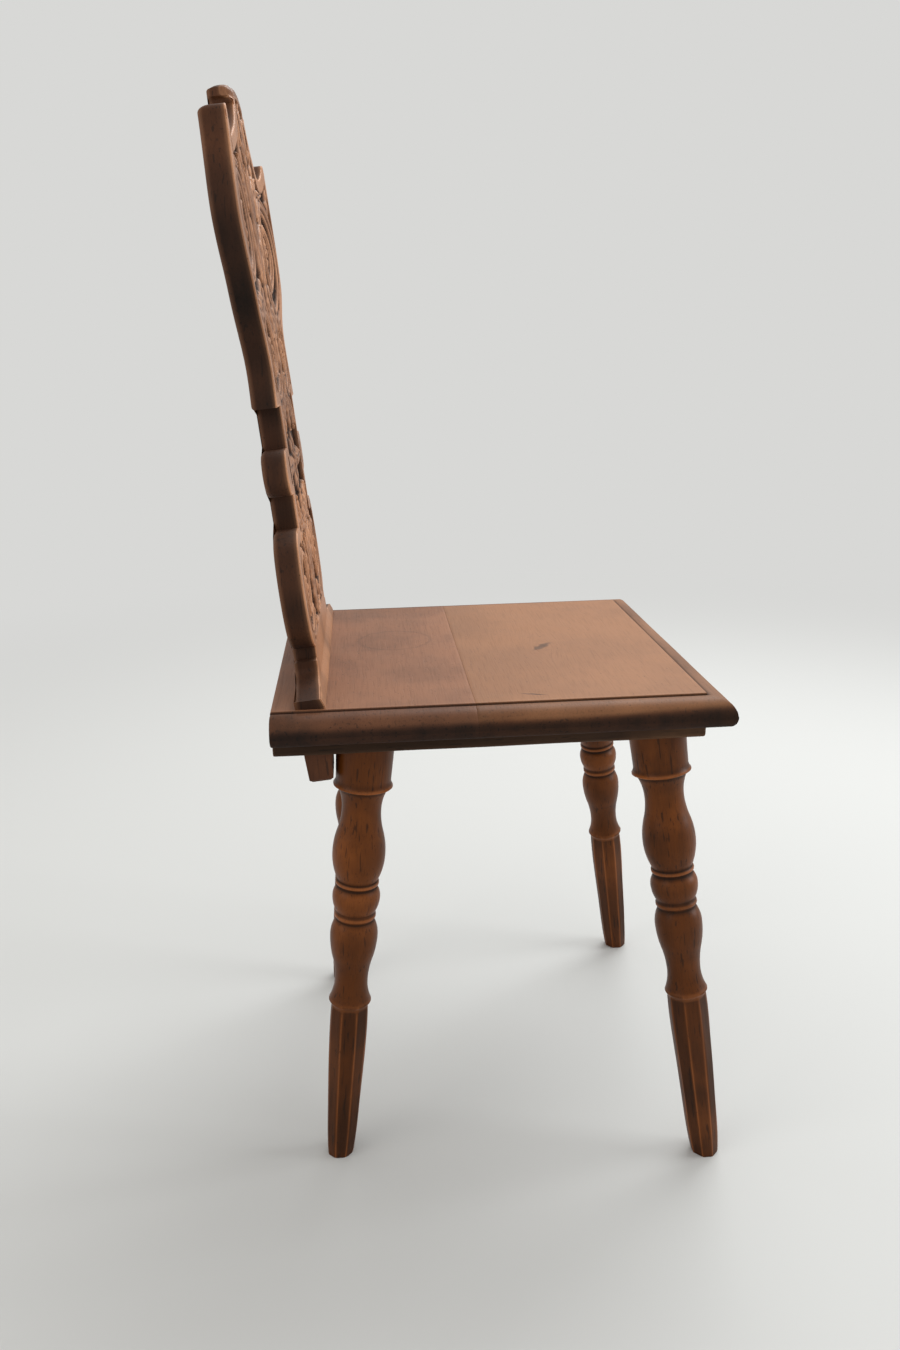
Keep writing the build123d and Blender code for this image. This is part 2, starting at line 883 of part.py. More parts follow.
with BuildPart() as back_keys:
    add(keys)
back_keys.part.label = "back_keys"
export_step(back_keys.part, "parts/back_keys.step")
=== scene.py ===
# %% [markdown]
# # A carved board chair, dressed in Blender
#
# This chair is the kind that a village joiner makes from a few boards. Two glued boards
# are the seat, battens under it hold four turned legs, and one upright board, sawn to a
# curly outline and carved on its front, is the back. Its real sizes come from the packed
# model, which is loaded first and never moved. The lesson then builds the surfaces that
# need a maker's hand, such as the carving, and gives every piece its wood.

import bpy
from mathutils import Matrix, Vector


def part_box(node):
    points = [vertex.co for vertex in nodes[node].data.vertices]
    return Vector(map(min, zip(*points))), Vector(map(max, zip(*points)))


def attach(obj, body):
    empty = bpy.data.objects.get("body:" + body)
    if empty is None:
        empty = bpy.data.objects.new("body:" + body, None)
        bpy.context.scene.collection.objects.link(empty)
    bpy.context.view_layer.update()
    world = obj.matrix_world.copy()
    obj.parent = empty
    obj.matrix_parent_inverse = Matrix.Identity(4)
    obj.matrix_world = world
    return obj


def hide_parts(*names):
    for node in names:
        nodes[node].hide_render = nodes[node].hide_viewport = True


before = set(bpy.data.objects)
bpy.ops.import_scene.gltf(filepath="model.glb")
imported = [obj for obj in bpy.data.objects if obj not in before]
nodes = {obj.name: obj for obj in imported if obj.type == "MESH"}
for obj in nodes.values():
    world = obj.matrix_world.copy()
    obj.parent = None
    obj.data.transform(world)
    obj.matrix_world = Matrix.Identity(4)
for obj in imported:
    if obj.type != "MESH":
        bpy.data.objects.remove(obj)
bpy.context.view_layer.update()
print("pieces in the packed chair:", sorted(nodes))

# %% [markdown]
# ## Units and the camera
#
# Blender counts in metres, while a chair maker thinks in millimetres, so sizes below are
# in millimetres and are turned into metres in one place. The camera stands to the right
# of the chair at chest height and looks a little down, as in the photograph. Its
# distance and lens were worked out from the photograph's own perspective.

# %% Units, and a camera turned by yaw, pitch and roll
from math import cos, pi, radians, sin

import bmesh
import bpy
import numpy as np
from mathutils import Matrix, Vector

mm = 0.001
full_turn = 2 * pi
right_angle = pi / 2

camera_place = Vector((-1046.9, 101.0, 736.2)) * mm
camera_yaw = 0.0766
camera_pitch = 0.2909
camera_roll = -0.0207
frame_height_px = 1350
focal_length_px = 1110.5
film_height = 36.0


def camera_axes(yaw, pitch, roll):
    """The camera's right, up and backward directions.

    It looks along +X, turned by yaw towards -Y and by pitch downwards. Right and up then
    turn by roll about the line of sight.
    """
    sight = Vector((cos(pitch) * cos(yaw), -cos(pitch) * sin(yaw), -sin(pitch)))
    level = sight.cross(Vector((0, 0, 1))).normalized()
    upright = level.cross(sight)
    right = cos(roll) * level + sin(roll) * upright
    up = cos(roll) * upright - sin(roll) * level
    return right, up, -sight


camera = bpy.data.objects.new("camera", bpy.data.cameras.new("camera"))
camera.data.sensor_width = film_height
camera.data.lens = focal_length_px / frame_height_px * film_height
camera.matrix_world = Matrix.Translation(camera_place) @ Matrix(
    camera_axes(camera_yaw, camera_pitch, camera_roll)
).transposed().to_4x4()
bpy.context.scene.collection.objects.link(camera)
bpy.context.scene.camera = camera
print("lens:", round(camera.data.lens, 2), "mm")

# %% [markdown]
# ## Shader sums that read like sums
#
# A wood finish is mostly arithmetic: stretch a noise along the grain, raise it, mix two
# browns by it. In the node editor each step is a node. Wrapping a socket in a small class
# lets Python's own signs add those nodes, so a finish can be read as a formula.

# %% Signals: sockets that can be added up


class Signal:
    """One output socket of a finish. Sums on it add Math nodes."""

    def __init__(self, finish, socket):
        self.finish = finish
        self.socket = socket

    def sum(self, operation, *values):
        """The result of a Math node that works on these values."""
        return self.finish.node(
            "ShaderNodeMath", {"operation": operation}, dict(enumerate(values))
        )

    def __add__(self, other):
        return self.sum("ADD", self, other)

    def __sub__(self, other):
        return self.sum("SUBTRACT", self, other)

    def __rsub__(self, other):
        return self.sum("SUBTRACT", other, self)

    def __mul__(self, other):
        return self.sum("MULTIPLY", self, other)

    def __truediv__(self, other):
        return self.sum("DIVIDE", self, other)

    def __pow__(self, other):
        return self.sum("POWER", self, other)

    def __abs__(self):
        return self.sum("ABSOLUTE", self)

    __radd__ = __add__
    __rmul__ = __mul__

    def least(self, other):
        """The smaller of two values."""
        return self.sum("MINIMUM", self, other)

    def most(self, other):
        """The larger of two values."""
        return self.sum("MAXIMUM", self, other)

    def rise(self, low, high):
        """A soft step: 0 below low, 1 above high, and a smooth S between them."""
        return self.finish.node(
            "ShaderNodeMapRange",
            {"interpolation_type": "SMOOTHSTEP"},
            {"Value": self, "From Min": low, "From Max": high},
        )

    def fall(self, low, high):
        """A soft step down: 1 below low and 0 above high."""
        return 1 - self.rise(low, high)


print("each of + - * / ** and abs on a signal adds one Math node")

# %% A finish and its nodes


class Finish:
    """A material whose nodes are added one by one, each from its type, settings and sockets."""

    def __init__(self, name="", tree=None):
        if tree is None:
            self.material = bpy.data.materials.new(name)
            self.material.use_nodes = True
            tree = self.material.node_tree
        self.tree = tree
        self.tree.nodes.clear()

    def node(self, kind, settings=None, sockets=None, output=0):
        """Adds a node, sets its settings, then fills or links its sockets by name or number."""
        made = self.tree.nodes.new(kind)
        for key, value in (settings or {}).items():
            setattr(made, key, value)
        by_identifier = {socket.identifier: socket for socket in made.inputs}
        for key, value in (sockets or {}).items():
            socket = by_identifier.get(key) if key in by_identifier else made.inputs[key]
            if isinstance(value, Signal):
                self.tree.links.new(value.socket, socket)
            else:
                socket.default_value = value
        return Signal(self, made.outputs[output])

    def mix(self, first, second, share):
        """The first colour, with a share of the second one blended in."""
        return self.node(
            "ShaderNodeMix",
            {"data_type": "RGBA"},
            {"Factor_Float": share, "A_Color": first, "B_Color": second},
            output=2,
        )

    def noise(self, place, scale, detail=3.0, roughness=0.5, distortion=0.0):
        """Soft random light and dark, about scale patches to the metre."""
        return self.node(
            "ShaderNodeTexNoise",
            None,
            {
                "Vector": place,
                "Scale": scale,
                "Detail": detail,
                "Roughness": roughness,
                "Distortion": distortion,
            },
        )

    def stretched(self, place, along):
        """The place scaled along the grain (z), which draws a noise out into streaks."""
        return self.node("ShaderNodeMapping", None, {"Vector": place, "Scale": (1, 1, along)})

    def close(self, shader):
        """Ends the finish with its surface shader and returns the material."""
        surface = self.tree.nodes.new("ShaderNodeOutputMaterial")
        self.tree.links.new(shader.socket, surface.inputs["Surface"])
        return self.material


def colour(red, green, blue):
    """A colour as it looks on a screen, 0 to 255 each, as the linear values of a shader."""
    shown = np.array([red, green, blue]) / 255
    linear = np.where(shown <= 0.04045, shown / 12.92, ((shown + 0.055) / 1.055) ** 2.4)
    return (*linear.tolist(), 1.0)


print("black and white:", colour(0, 0, 0), colour(255, 255, 255))

# %% [markdown]
# ## Floor and light
#
# A plain pale floor carries the shadow that seats the chair. Far away it fades into the
# background, so that no horizon cuts through the picture. The light is soft: one broad
# lamp from above and behind, as from a curtained window, one from the front of the
# chair, and a weak one from the camera's side.

# %% A floor that fades into the background
backdrop_colour = colour(216, 216, 214)
floor_colour = colour(218, 217, 213)
floor_half_size = 9.0
fade_start = 0.9
fade_end = 2.6


def seen_not_lit(finish):
    """1 for the rays that show the background, and 0 for those that light the chair."""
    camera_ray = finish.node("ShaderNodeLightPath", output=0)
    path = camera_ray.socket.node
    glossy = Signal(finish, path.outputs["Is Glossy Ray"])
    through = Signal(finish, path.outputs["Is Transmission Ray"])
    return camera_ray.most(glossy).most(through)


def pale_floor():
    """Matt paint near the chair that turns into the backdrop's colour by distance."""
    finish = Finish("pale_floor")
    place = finish.node("ShaderNodeTexCoord", output=3)
    distance = finish.node("ShaderNodeVectorMath", {"operation": "LENGTH"}, {0: place}, 1)
    matt = finish.node("ShaderNodeBsdfDiffuse", None, {"Color": floor_colour})
    glow = finish.node("ShaderNodeEmission", None, {"Color": backdrop_colour})
    share = distance.rise(fade_start, fade_end) * seen_not_lit(finish)
    return finish.close(finish.node("ShaderNodeMixShader", None, {0: share, 1: matt, 2: glow}))


floor_mesh = bpy.data.meshes.new("floor")
floor_corners = [(-1, -1), (1, -1), (1, 1), (-1, 1)]
floor_points = [(x * floor_half_size, y * floor_half_size, 0) for x, y in floor_corners]
floor_mesh.from_pydata(floor_points, [], [range(4)])
floor_mesh.materials.append(pale_floor())
floor = bpy.data.objects.new("floor", floor_mesh)
bpy.context.scene.collection.objects.link(floor)
print("floor:", 2 * floor_half_size, "m across, fading from", fade_start, "m to", fade_end, "m")

# %% The world and three soft lamps
daylight_level = 0.62
chair_middle = Vector((0, 0, 0.45))
cool_white = (0.93, 0.97, 1.0)
warm_white = (1.0, 0.98, 0.95)


def studio_world():
    """An even pale light, shown to the camera and to reflections as the backdrop."""
    world = bpy.data.worlds.new("studio")
    world.use_nodes = True
    bpy.context.scene.world = world
    tree = world.node_tree
    finish = Finish(tree=tree)
    light = finish.node(
        "ShaderNodeBackground", None, {"Color": (1, 1, 1, 1), "Strength": daylight_level}
    )
    shown = finish.node("ShaderNodeBackground", None, {"Color": backdrop_colour})
    both = finish.node("ShaderNodeMixShader", None, {0: seen_not_lit(finish), 1: light, 2: shown})
    surface = tree.nodes.new("ShaderNodeOutputWorld")
    tree.links.new(both.socket, surface.inputs["Surface"])


def soft_lamp(name, place, size, power, tint):
    """A square area lamp at a place in metres, turned to face the chair."""
    lamp = bpy.data.objects.new(name, bpy.data.lights.new(name, "AREA"))
    lamp.data.size = size
    lamp.data.energy = power
    lamp.data.color = tint
    lamp.location = place
    lamp.rotation_mode = "QUATERNION"
    lamp.rotation_quaternion = (chair_middle - Vector(place)).to_track_quat("-Z", "Y")
    bpy.context.scene.collection.objects.link(lamp)
    print(name, power, "watts")


studio_world()
soft_lamp("window_lamp", place=(1.3, -0.8, 2.5), size=1.6, power=40, tint=cool_white)
soft_lamp("front_lamp", place=(-0.2, -2.5, 1.2), size=1.2, power=26, tint=cool_white)
soft_lamp("side_lamp", place=(-1.2, 2.2, 1.5), size=1.4, power=8, tint=warm_white)
bpy.context.scene.view_settings.view_transform = "Standard"

# %% [markdown]
# ## The woods
#
# The chair is of a close-grained hardwood, stained walnut brown and waxed for a century.
# Three things make it look real. Fine fibres and short dark pores run along the grain.
# Broad patches differ a little in tone, where hands, feet and dusters worked. And the
# stain is worn to orange on raised edges, while wax and dirt stay dark in the hollows.
# On some pieces the wear also holds a painted highlight, and the dirt a painted shade.
# Each new piece carries its own values of wear and of dirt, worked out with its shape, and
# its own "grain" coordinates, whose z runs along the grain. So one recipe serves them all.

# %% What a finish reads from its piece


def attribute_value(finish, name):
    """A number that the piece's mesh carries on its points."""
    return finish.node("ShaderNodeAttribute", {"attribute_name": name}, output=2)


def attribute_place(finish, name):
    """A place that the piece's mesh carries on its points."""
    return finish.node("ShaderNodeAttribute", {"attribute_name": name}, output=1)


def turned_place(finish, turn):
    """Object coordinates, turned so that z runs along the grain."""
    place = finish.node("ShaderNodeTexCoord", output=3)
    return finish.node("ShaderNodeMapping", None, {"Vector": place, "Rotation": turn})


print("a finish reads the attributes grain, wear and hollow, or Object coordinates")

# %% One recipe for stained and waxed wood
fibre_density, fibre_stretch = 900.0, 0.035
pore_density, pore_stretch = 420.0, 0.10
figure_density, figure_stretch = 26.0, 0.12
speck_density = 420.0
patch_density = 9.0
grain_relief = {"Strength": 0.22, "Distance": 0.6 * mm}


def waxed_wood(
    name, tones, turn=None, worn=None, dark=None, marks=None, shine=0.42, gloss=0.25, patchy=0.45
):
    """Fibres, pores, figure and patches as one brown, with worn edges and dark hollows,
    and with the painted highlights and painted shade that a piece carries.

    tones are the pale, middle and dark brown, the worn edge and the dirt, as colours. The
    worn-edge colour also paints highlights, and the dirt colour also paints shade.
    Worn, dark and marks are functions of the finish that give shares from 0 to 1. Where
    worn or dark isn't given, the mesh carries it. Patchy is how far patches vary the wear.
    """
    finish = Finish(name)
    pale, middle, deep, edge, dirt = tones
    place = attribute_place(finish, "grain") if turn is None else turned_place(finish, turn)
    worn_share = attribute_value(finish, "wear") if worn is None else worn(finish)
    dark_share = attribute_value(finish, "dirt_and_shade") if dark is None else dark(finish)

    fibres = finish.noise(finish.stretched(place, fibre_stretch), fibre_density, 2.0, 0.6)
    pores = finish.noise(finish.stretched(place, pore_stretch), pore_density, 1.0, 0.4)
    figure = finish.noise(finish.stretched(place, figure_stretch), figure_density, 4.0, 0.6, 0.7)
    patches = finish.noise(place, patch_density, 4.0, 0.6)
    specks = finish.noise(place, speck_density, 2.0, 0.5)
    pore_marks = pores.fall(0.30, 0.36)

    brown = finish.mix(middle, deep, figure.rise(0.42, 0.72) * 0.75)
    brown = finish.mix(brown, pale, patches.rise(0.45, 0.75) * 0.7)
    brown = finish.mix(brown, deep, fibres.rise(0.5, 0.8) * 0.35)
    brown = finish.mix(brown, dirt, pore_marks * 0.55)
    # On the legs and the carved face the wear share also holds a painted highlight.
    rubbed = worn_share * (1 - patchy + patchy * patches.rise(0.35, 0.6))
    brown = finish.mix(brown, edge, rubbed)
    brown = finish.mix(brown, deep, fibres.rise(0.45, 0.75) * 0.16)
    brown = finish.mix(brown, dirt, specks.rise(0.66, 0.74) * 0.5)
    if marks is not None:
        brown = finish.mix(brown, dirt, marks(finish))
    # On the seat, the sawn edge and the legs the dirt share also holds painted shade.
    grime_and_shade = (dark_share * (0.4 + 0.3 * figure + 0.6 * patches)).least(1.0)
    brown = finish.mix(brown, dirt, grime_and_shade)

    roughness = shine + 0.14 * patches + 0.10 * fibres + 0.30 * grime_and_shade - 0.10 * rubbed
    relief = fibres * 0.35 - pore_marks * 0.5 + figure * 0.4
    bump = finish.node("ShaderNodeBump", None, {**grain_relief, "Height": relief})
    shader = finish.node(
        "ShaderNodeBsdfPrincipled",
        None,
        {
            "Base Color": brown,
            "Roughness": roughness,
            "Normal": bump,
            "Specular IOR Level": gloss,
        },
    )
    return finish.close(shader)


print("noises in each wood: fibres, pores, figure, patches and specks")

# %% [markdown]
# ## The back board's outline
#
# The real back is one board. Its outline was drawn round a template and sawn, and half
# of it is enough here, because the other half mirrors it. The key points are shares of
# the board's half width and height. A cubic spline runs through the points of each lobe,
# as a thin strip of wood bent round nails would.

# %% The board's main sizes, and a spline
back_lean = radians(5.45)
back_inset = 20.5
board_thickness = 21.0
foot_thickness = 25.0
foot_flare_height = 10.0
panel_height = 492.0
panel_half_width = 176.0
crest_rise = 4.0
corner_gap = 0.4
tiny = 1e-6
spline_steps = 12

_, seat_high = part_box("seat_rear_board")
seat_top = seat_high.z / mm
seat_rear = seat_high.y / mm
back_origin = np.array([0, seat_rear - back_inset, seat_top])
back_up = np.array([0, sin(back_lean), cos(back_lean)])
back_forward = np.array([0, -cos(back_lean), sin(back_lean)])


def spline(points, steps=spline_steps):
    """A natural cubic spline through points, with equal steps between each two.

    Between two points the curve is a cubic in the chord length. Its bend at the points
    comes from one set of equations that make slope and bend run on without a break.
    """
    points = np.asarray(points, float)
    chord = np.hypot(*np.diff(points, axis=0).T)
    count = len(points)
    system = np.eye(count)
    inner = np.arange(1, count - 1)
    system[inner, inner - 1] = chord[:-1]
    system[inner, inner] = 2 * (chord[:-1] + chord[1:])
    system[inner, inner + 1] = chord[1:]
    slope = np.diff(points, axis=0) / chord[:, None]
    target = np.zeros_like(points)
    target[1:-1] = 6 * np.diff(slope, axis=0)
    bend = np.linalg.solve(system, target)
    share = np.linspace(0, 1, steps, endpoint=False)[None, :, None]
    first, last = points[:-1, None], points[1:, None]
    cubic = (share**3 - share) * bend[1:, None] + ((1 - share) ** 3 - (1 - share)) * bend[:-1, None]
    curve = first + share * (last - first) + cubic * (chord**2)[:, None, None] / 6
    return np.vstack([curve.reshape(-1, 2), points[-1]])


def shares(*pairs):
    """Points in millimetres from shares of the board's half width and height."""
    return np.array(pairs) * [panel_half_width, panel_height]


print("the board leans back by", round(sin(back_lean) * panel_height), "mm")

# %% The lobes, the waist bead and the ear
lower_lobe = spline(
    shares(
        (0.670, 0.074),
        (0.744, 0.085),
        (0.815, 0.118),
        (0.843, 0.172),
        (0.821, 0.224),
        (0.767, 0.258),
        (0.670, 0.277),
    )
)
waist_bead = shares((0.630, 0.336), (0.705, 0.374), (0.630, 0.412))
upper_lobe = spline(
    shares(
        (0.705, 0.483),
        (0.652, 0.556),
        (0.757, 0.629),
        (0.918, 0.702),
        (1.000, 0.774),
        (0.966, 0.830),
        (0.932, 0.866),
    )
)
ear = shares((0.892, 0.912), (0.852, 0.926), (0.813, 0.919))
brow = spline(
    shares(
        (0.784, 0.909),
        (0.705, 0.894),
        (0.636, 0.896),
        (0.477, 0.915),
        (0.330, 0.939),
        (0.261, 0.962),
    )
)
print("the widest place is", lower_lobe[:, 0].max().round(), "mm off the middle below")

# %% The cap over the crest, and the foot
cap_notch = shares((0.233, 0.971), (0.233, 0.975), (0.250, 0.980))
cap_end = shares((0.239, 0.986))[0] + [0, crest_rise]
cap_sagitta = panel_height + crest_rise - cap_end[1]
cap_radius = (cap_end[0] ** 2 + cap_sagitta**2) / (2 * cap_sagitta)
cap_turn = np.linspace(np.arcsin(cap_end[0] / cap_radius), 0, 2 * spline_steps)
cap_heights = panel_height + crest_rise - cap_radius * (1 - np.cos(cap_turn))
cap = np.stack([cap_radius * np.sin(cap_turn), cap_heights], axis=1)
lower_neck = 0.557 * panel_half_width
upper_neck = 0.511 * panel_half_width
foot_half_length = 175.0
foot_height = 6.5
foot_lip = 6.0
ledge_half_width = 126.0
ledge_bottom = 20.0
ledge_top = 26.0


def circle_through(first, middle, last, steps=16):
    """The arc through three points: they lie at one distance from the circle's centre."""
    chords = 2 * np.array([middle - first, last - first])
    squares = [middle @ middle - first @ first, last @ last - first @ first]
    centre = np.linalg.solve(chords, squares)
    spokes = [complex(*(point - centre)) for point in (first, middle, last)]
    sweep = np.angle(spokes[1] / spokes[0]) + np.angle(spokes[2] / spokes[1])
    arc = spokes[0] * np.exp(1j * sweep * np.linspace(0, 1, steps))
    return np.stack([arc.real, arc.imag], axis=1) + centre


def foot_cove(steps=10):
    """A quarter of an ellipse that hollows from the foot's lip up to the ledge."""
    turn = np.linspace(right_angle, 0, steps)
    lip = foot_half_length - foot_lip
    across = lip - (lip - ledge_half_width) * np.cos(turn)
    upwards = ledge_bottom - (ledge_bottom - foot_height) * np.sin(turn)
    return np.stack([across, upwards], axis=1)


print("the cap is part of a circle of", round(float(cap_radius), 1), "mm")

# %% Half of the outline, from the foot to the crest
side_outline = np.vstack(
    [
        [(foot_half_length, -foot_height), (foot_half_length, foot_height)],
        foot_cove(),
        [(ledge_half_width, ledge_top), (lower_lobe[0, 0], ledge_top)],
        lower_lobe,
        [(lower_neck, lower_lobe[-1, 1]), (lower_neck, waist_bead[0, 1])],
        circle_through(*waist_bead),
        [(upper_neck, waist_bead[-1, 1]), (upper_neck, upper_lobe[0, 1])],
        upper_lobe,
    ]
)
top_outline = np.vstack([circle_through(*ear), brow, cap_notch, cap])
print("outline points:", len(side_outline), "up the side,", len(top_outline), "along the top")

# %% [markdown]
# ## A grid that fills the outline
#
# The carving needs about one point every millimetre and a half. Rows run across the
# board at even heights, with one at each corner of the outline. Near the middle the
# columns stand upright, and towards the sides they spread to meet the edge. Above the
# top row that still fits between the lobes, a Coons patch blends four curves: that row,
# both sides, and the top outline from ear to ear.

# %% Rows and columns over the board
spacing = 1.5
border_width = 11.0
inner_half_width = upper_neck - border_width
outer_columns = 64
patch_rows = 58


def rising(outline):
    """The outline with each level step raised a little at its end, so that heights grow."""
    level = np.concatenate([[False], np.diff(outline[:, 1]) < tiny])
    heights = np.maximum.accumulate(outline[:, 1] + np.where(level, corner_gap, 0))
    return np.stack([outline[:, 0], heights + 10 * tiny * np.arange(len(heights))], axis=1)


patch_start = upper_lobe[-1 - spline_steps]
side_curve = rising(side_outline[side_outline[:, 1] <= patch_start[1] + tiny])
level_steps = np.array(
    [
        foot_height,
        ledge_top,
        lower_lobe[-1, 1],
        waist_bead[0, 1],
        waist_bead[-1, 1],
        upper_lobe[0, 1],
    ]
)
corner_rows = np.concatenate([level_steps, level_steps + corner_gap, [ledge_bottom, 0.0]])
even_rows = np.arange(0, patch_start[1], spacing)
clear = np.abs(even_rows[:, None] - corner_rows).min(axis=1) > 0.6 * spacing
row_heights = np.append(np.sort(np.concatenate([even_rows[clear], corner_rows])), patch_start[1])
row_half_widths = np.interp(row_heights, side_curve[:, 1], side_curve[:, 0])

inner_columns = 2 * round(inner_half_width / spacing)
share_inside = np.concatenate(
    [np.zeros(outer_columns), np.linspace(0, 1, inner_columns + 1), np.ones(outer_columns)]
)
share_outside = np.concatenate(
    [
        np.linspace(-1, 0, outer_columns, endpoint=False),
        np.zeros(inner_columns + 1),
        np.linspace(0, 1, outer_columns + 1)[1:],
    ]
)


def columns_at(half_width):
    """Places across one row: even in the middle, then spread out to the half width."""
    middle = (2 * share_inside - 1) * inner_half_width
    return middle + share_outside * (half_width[..., None] - inner_half_width)


lower_across = columns_at(row_half_widths)
lower_upwards = np.broadcast_to(row_heights[:, None], lower_across.shape)
print("rows below the patch:", len(row_heights))

# %% The patch under the crest


def point_at(curve, share):
    """Points on a curve at shares of its length."""
    lengths = np.concatenate([[0], np.cumsum(np.hypot(*np.diff(curve, axis=0).T))])
    reached = np.asarray(share) * lengths[-1]
    return np.stack([np.interp(reached, lengths, curve[:, axis]) for axis in (0, 1)], axis=-1)


def coons_patch(rows):
    """The patch between the last row and the top outline.

    Each point is the blend of the bottom and top curves, plus the blend of the two side
    curves, less the blend of the four corners, which the first two both counted.
    """
    bottom = np.stack([lower_across[-1], lower_upwards[-1]], axis=1)
    above = side_outline[side_outline[:, 1] > patch_start[1] + tiny]
    side = np.vstack([patch_start, above, top_outline[0]])
    place = bottom[:, 0] / patch_start[0]
    top = point_at(top_outline, 1 - np.abs(place))
    top[:, 0] *= np.sign(place)
    up = np.linspace(0, 1, rows + 1)[1:, None, None]
    right_side = point_at(side, up[:, 0, 0])[:, None]
    left_side = right_side * [-1, 1]
    right_share = ((place + 1) / 2)[None, :, None]
    between_rows = (1 - up) * bottom + up * top
    between_sides = (1 - right_share) * left_side + right_share * right_side
    lower_corners = (1 - right_share) * bottom[0] + right_share * bottom[-1]
    upper_corners = (1 - right_share) * top[0] + right_share * top[-1]
    return between_rows + between_sides - (1 - up) * lower_corners - up * upper_corners


patch = coons_patch(patch_rows)
across = np.vstack([lower_across, patch[..., 0]])
upwards = np.vstack([lower_upwards, patch[..., 1]])
print("grid of", across.shape[0], "rows and", across.shape[1], "columns")

# %% [markdown]
# ## The carver's patterns
#
# Old chairs like this one have scrolls and leaves cut into the board, with a plain rim
# left standing round them. No one carving is copied here. The design is put together
# from three motifs that carvers have always used: a leaf along an arc, a scroll, and a
# rosette. Each is a formula for the height over the sunk ground, so that motifs can
# overlap: at every point the highest one wins, as it does when wood is cut away.
# Complex numbers keep the formulas short, because turning is then a multiplication.

# %% A dome, and a leaf along an arc
carving_depth = 4.6
edge_steepness = 0.38
rib_depth, rib_width = 1.5, 0.9
vein_depth = 0.9


def bell(offset, width):
    """1 at an offset of 0, and less to both sides: e to minus the square of offset / width."""
    return np.exp(-((offset / width) ** 2))


def dome(offset):
    """1 in the middle of a ridge, falling steeply to 0 where offset reaches 1."""
    return np.clip(1 - offset**2, 0, 1) ** edge_steepness


def leaf(z, root, tip, bow, half_width, lobes):
    """A leaf along an arc from root to tip, bowed to the left by bow.

    The distance from the arc, over the half width there, gives the dome. The half width
    swells and closes like a sine and dips between lobes. A rib groove follows the arc,
    and vein grooves leave it slantwise, one for each lobe.
    """
    chord = tip - root
    left = 1j * chord / abs(chord)
    radius = (abs(chord) ** 2 / 4 + bow**2) / (2 * bow)
    centre = (root + tip) / 2 + left * (bow - radius)
    sweep = np.angle((tip - centre) / (root - centre))
    along = np.angle((z - centre) / (root - centre)) / sweep
    offset = np.abs(z - centre) - abs(radius)
    inside = np.clip(along, 0, 1)
    swell = np.sin(pi * inside**0.75) ** 0.7
    notch = 0.70 + 0.30 * np.abs(np.cos(pi * lobes * inside))
    width = half_width * swell * notch + 1e-3
    reach = np.where((along > 0) & (along < 1), np.abs(offset) / width, 2.0)
    rib = rib_depth * bell(offset, rib_width) * (inside < 0.93)
    slant = pi * lobes * (inside - 0.7 * np.abs(offset) / abs(chord))
    veins = vein_depth * np.abs(np.sin(slant)) ** 6 * np.clip(np.abs(offset) / half_width * 2, 0, 1)
    return np.clip(carving_depth * dome(reach) - (rib + veins) * (reach < 1), 0, None)


print("a dome's height at its middle and half way out:", dome(0), round(float(dome(0.5)), 2))

# %% A scroll, a rosette and the rim of a slot
reed_groove_depth = 1.4
bowl_depth = 1.6
petal_groove_depth = 1.2
button_height = carving_depth + 0.2


def scroll(z, centre, start, turns, hand, shrink, half_width):
    """A band on a logarithmic spiral.

    The radius falls to the share shrink in each turn. A point's own radius and angle
    say which winding is nearest, and its distance from there, over the band's half
    width, gives the dome. Two grooves run along the band and leave a reed between them.
    """
    spoke = start - centre
    place = (z - centre) / spoke
    rate = -np.log(shrink) / full_turn
    angle = np.mod(hand * np.angle(place), full_turn)
    wanted = -np.log(np.abs(place) + 1e-9) / rate
    winding = np.round((wanted - angle) / full_turn)
    total = np.clip(angle + full_turn * winding, 0, full_turn * turns)
    share = np.exp(-rate * total)
    ridge = centre + spoke * share * np.exp(1j * hand * total)
    offset = np.abs(z - ridge) / (half_width * share**0.55)
    grooves = reed_groove_depth * bell(offset - 0.42, 0.15)
    return np.clip(carving_depth * dome(offset) - grooves * (offset < 1), 0, None)


def rosette(z, centre, radius, petals):
    """A flower: its rim and its grooves follow a cosine of the angle, round a button."""
    spoke = z - centre
    half_petals = petals * np.angle(spoke) / 2
    reach = np.abs(spoke) / (radius * (0.74 + 0.26 * np.abs(np.cos(half_petals))))
    bowl = bowl_depth * bell(np.abs(spoke) / radius - 0.42, 0.16)
    between = petal_groove_depth * np.abs(np.sin(half_petals)) ** 8
    petal = carving_depth * dome(reach) - (bowl + between) * (reach < 1)
    button = button_height * np.clip(1 - (np.abs(spoke) / (0.3 * radius)) ** 2, 0, 1) ** 0.5
    return np.clip(np.maximum(petal, button), 0, None)


def stadium_distance(z, centre, size):
    """The distance from a slot with round ends: zero inside it."""
    half_straight = (size[1] - size[0]) / 2
    offset = z - centre
    beyond = np.clip(np.abs(offset.imag) - half_straight, 0, None)
    return np.clip(np.hypot(offset.real, beyond) - size[0] / 2, 0, None)


print("a rosette's button stands", round(button_height, 1), "mm over the ground")

# %% The whole design, for the right half
eye_place = complex(91.0, 0.374 * panel_height)
eye_size = (7.0, 24.0)
slot_place = complex(27.0, panel_height - 31.0)
slot_size = (6.0, 24.0)
rim_width = 4.0
straight = 0.01

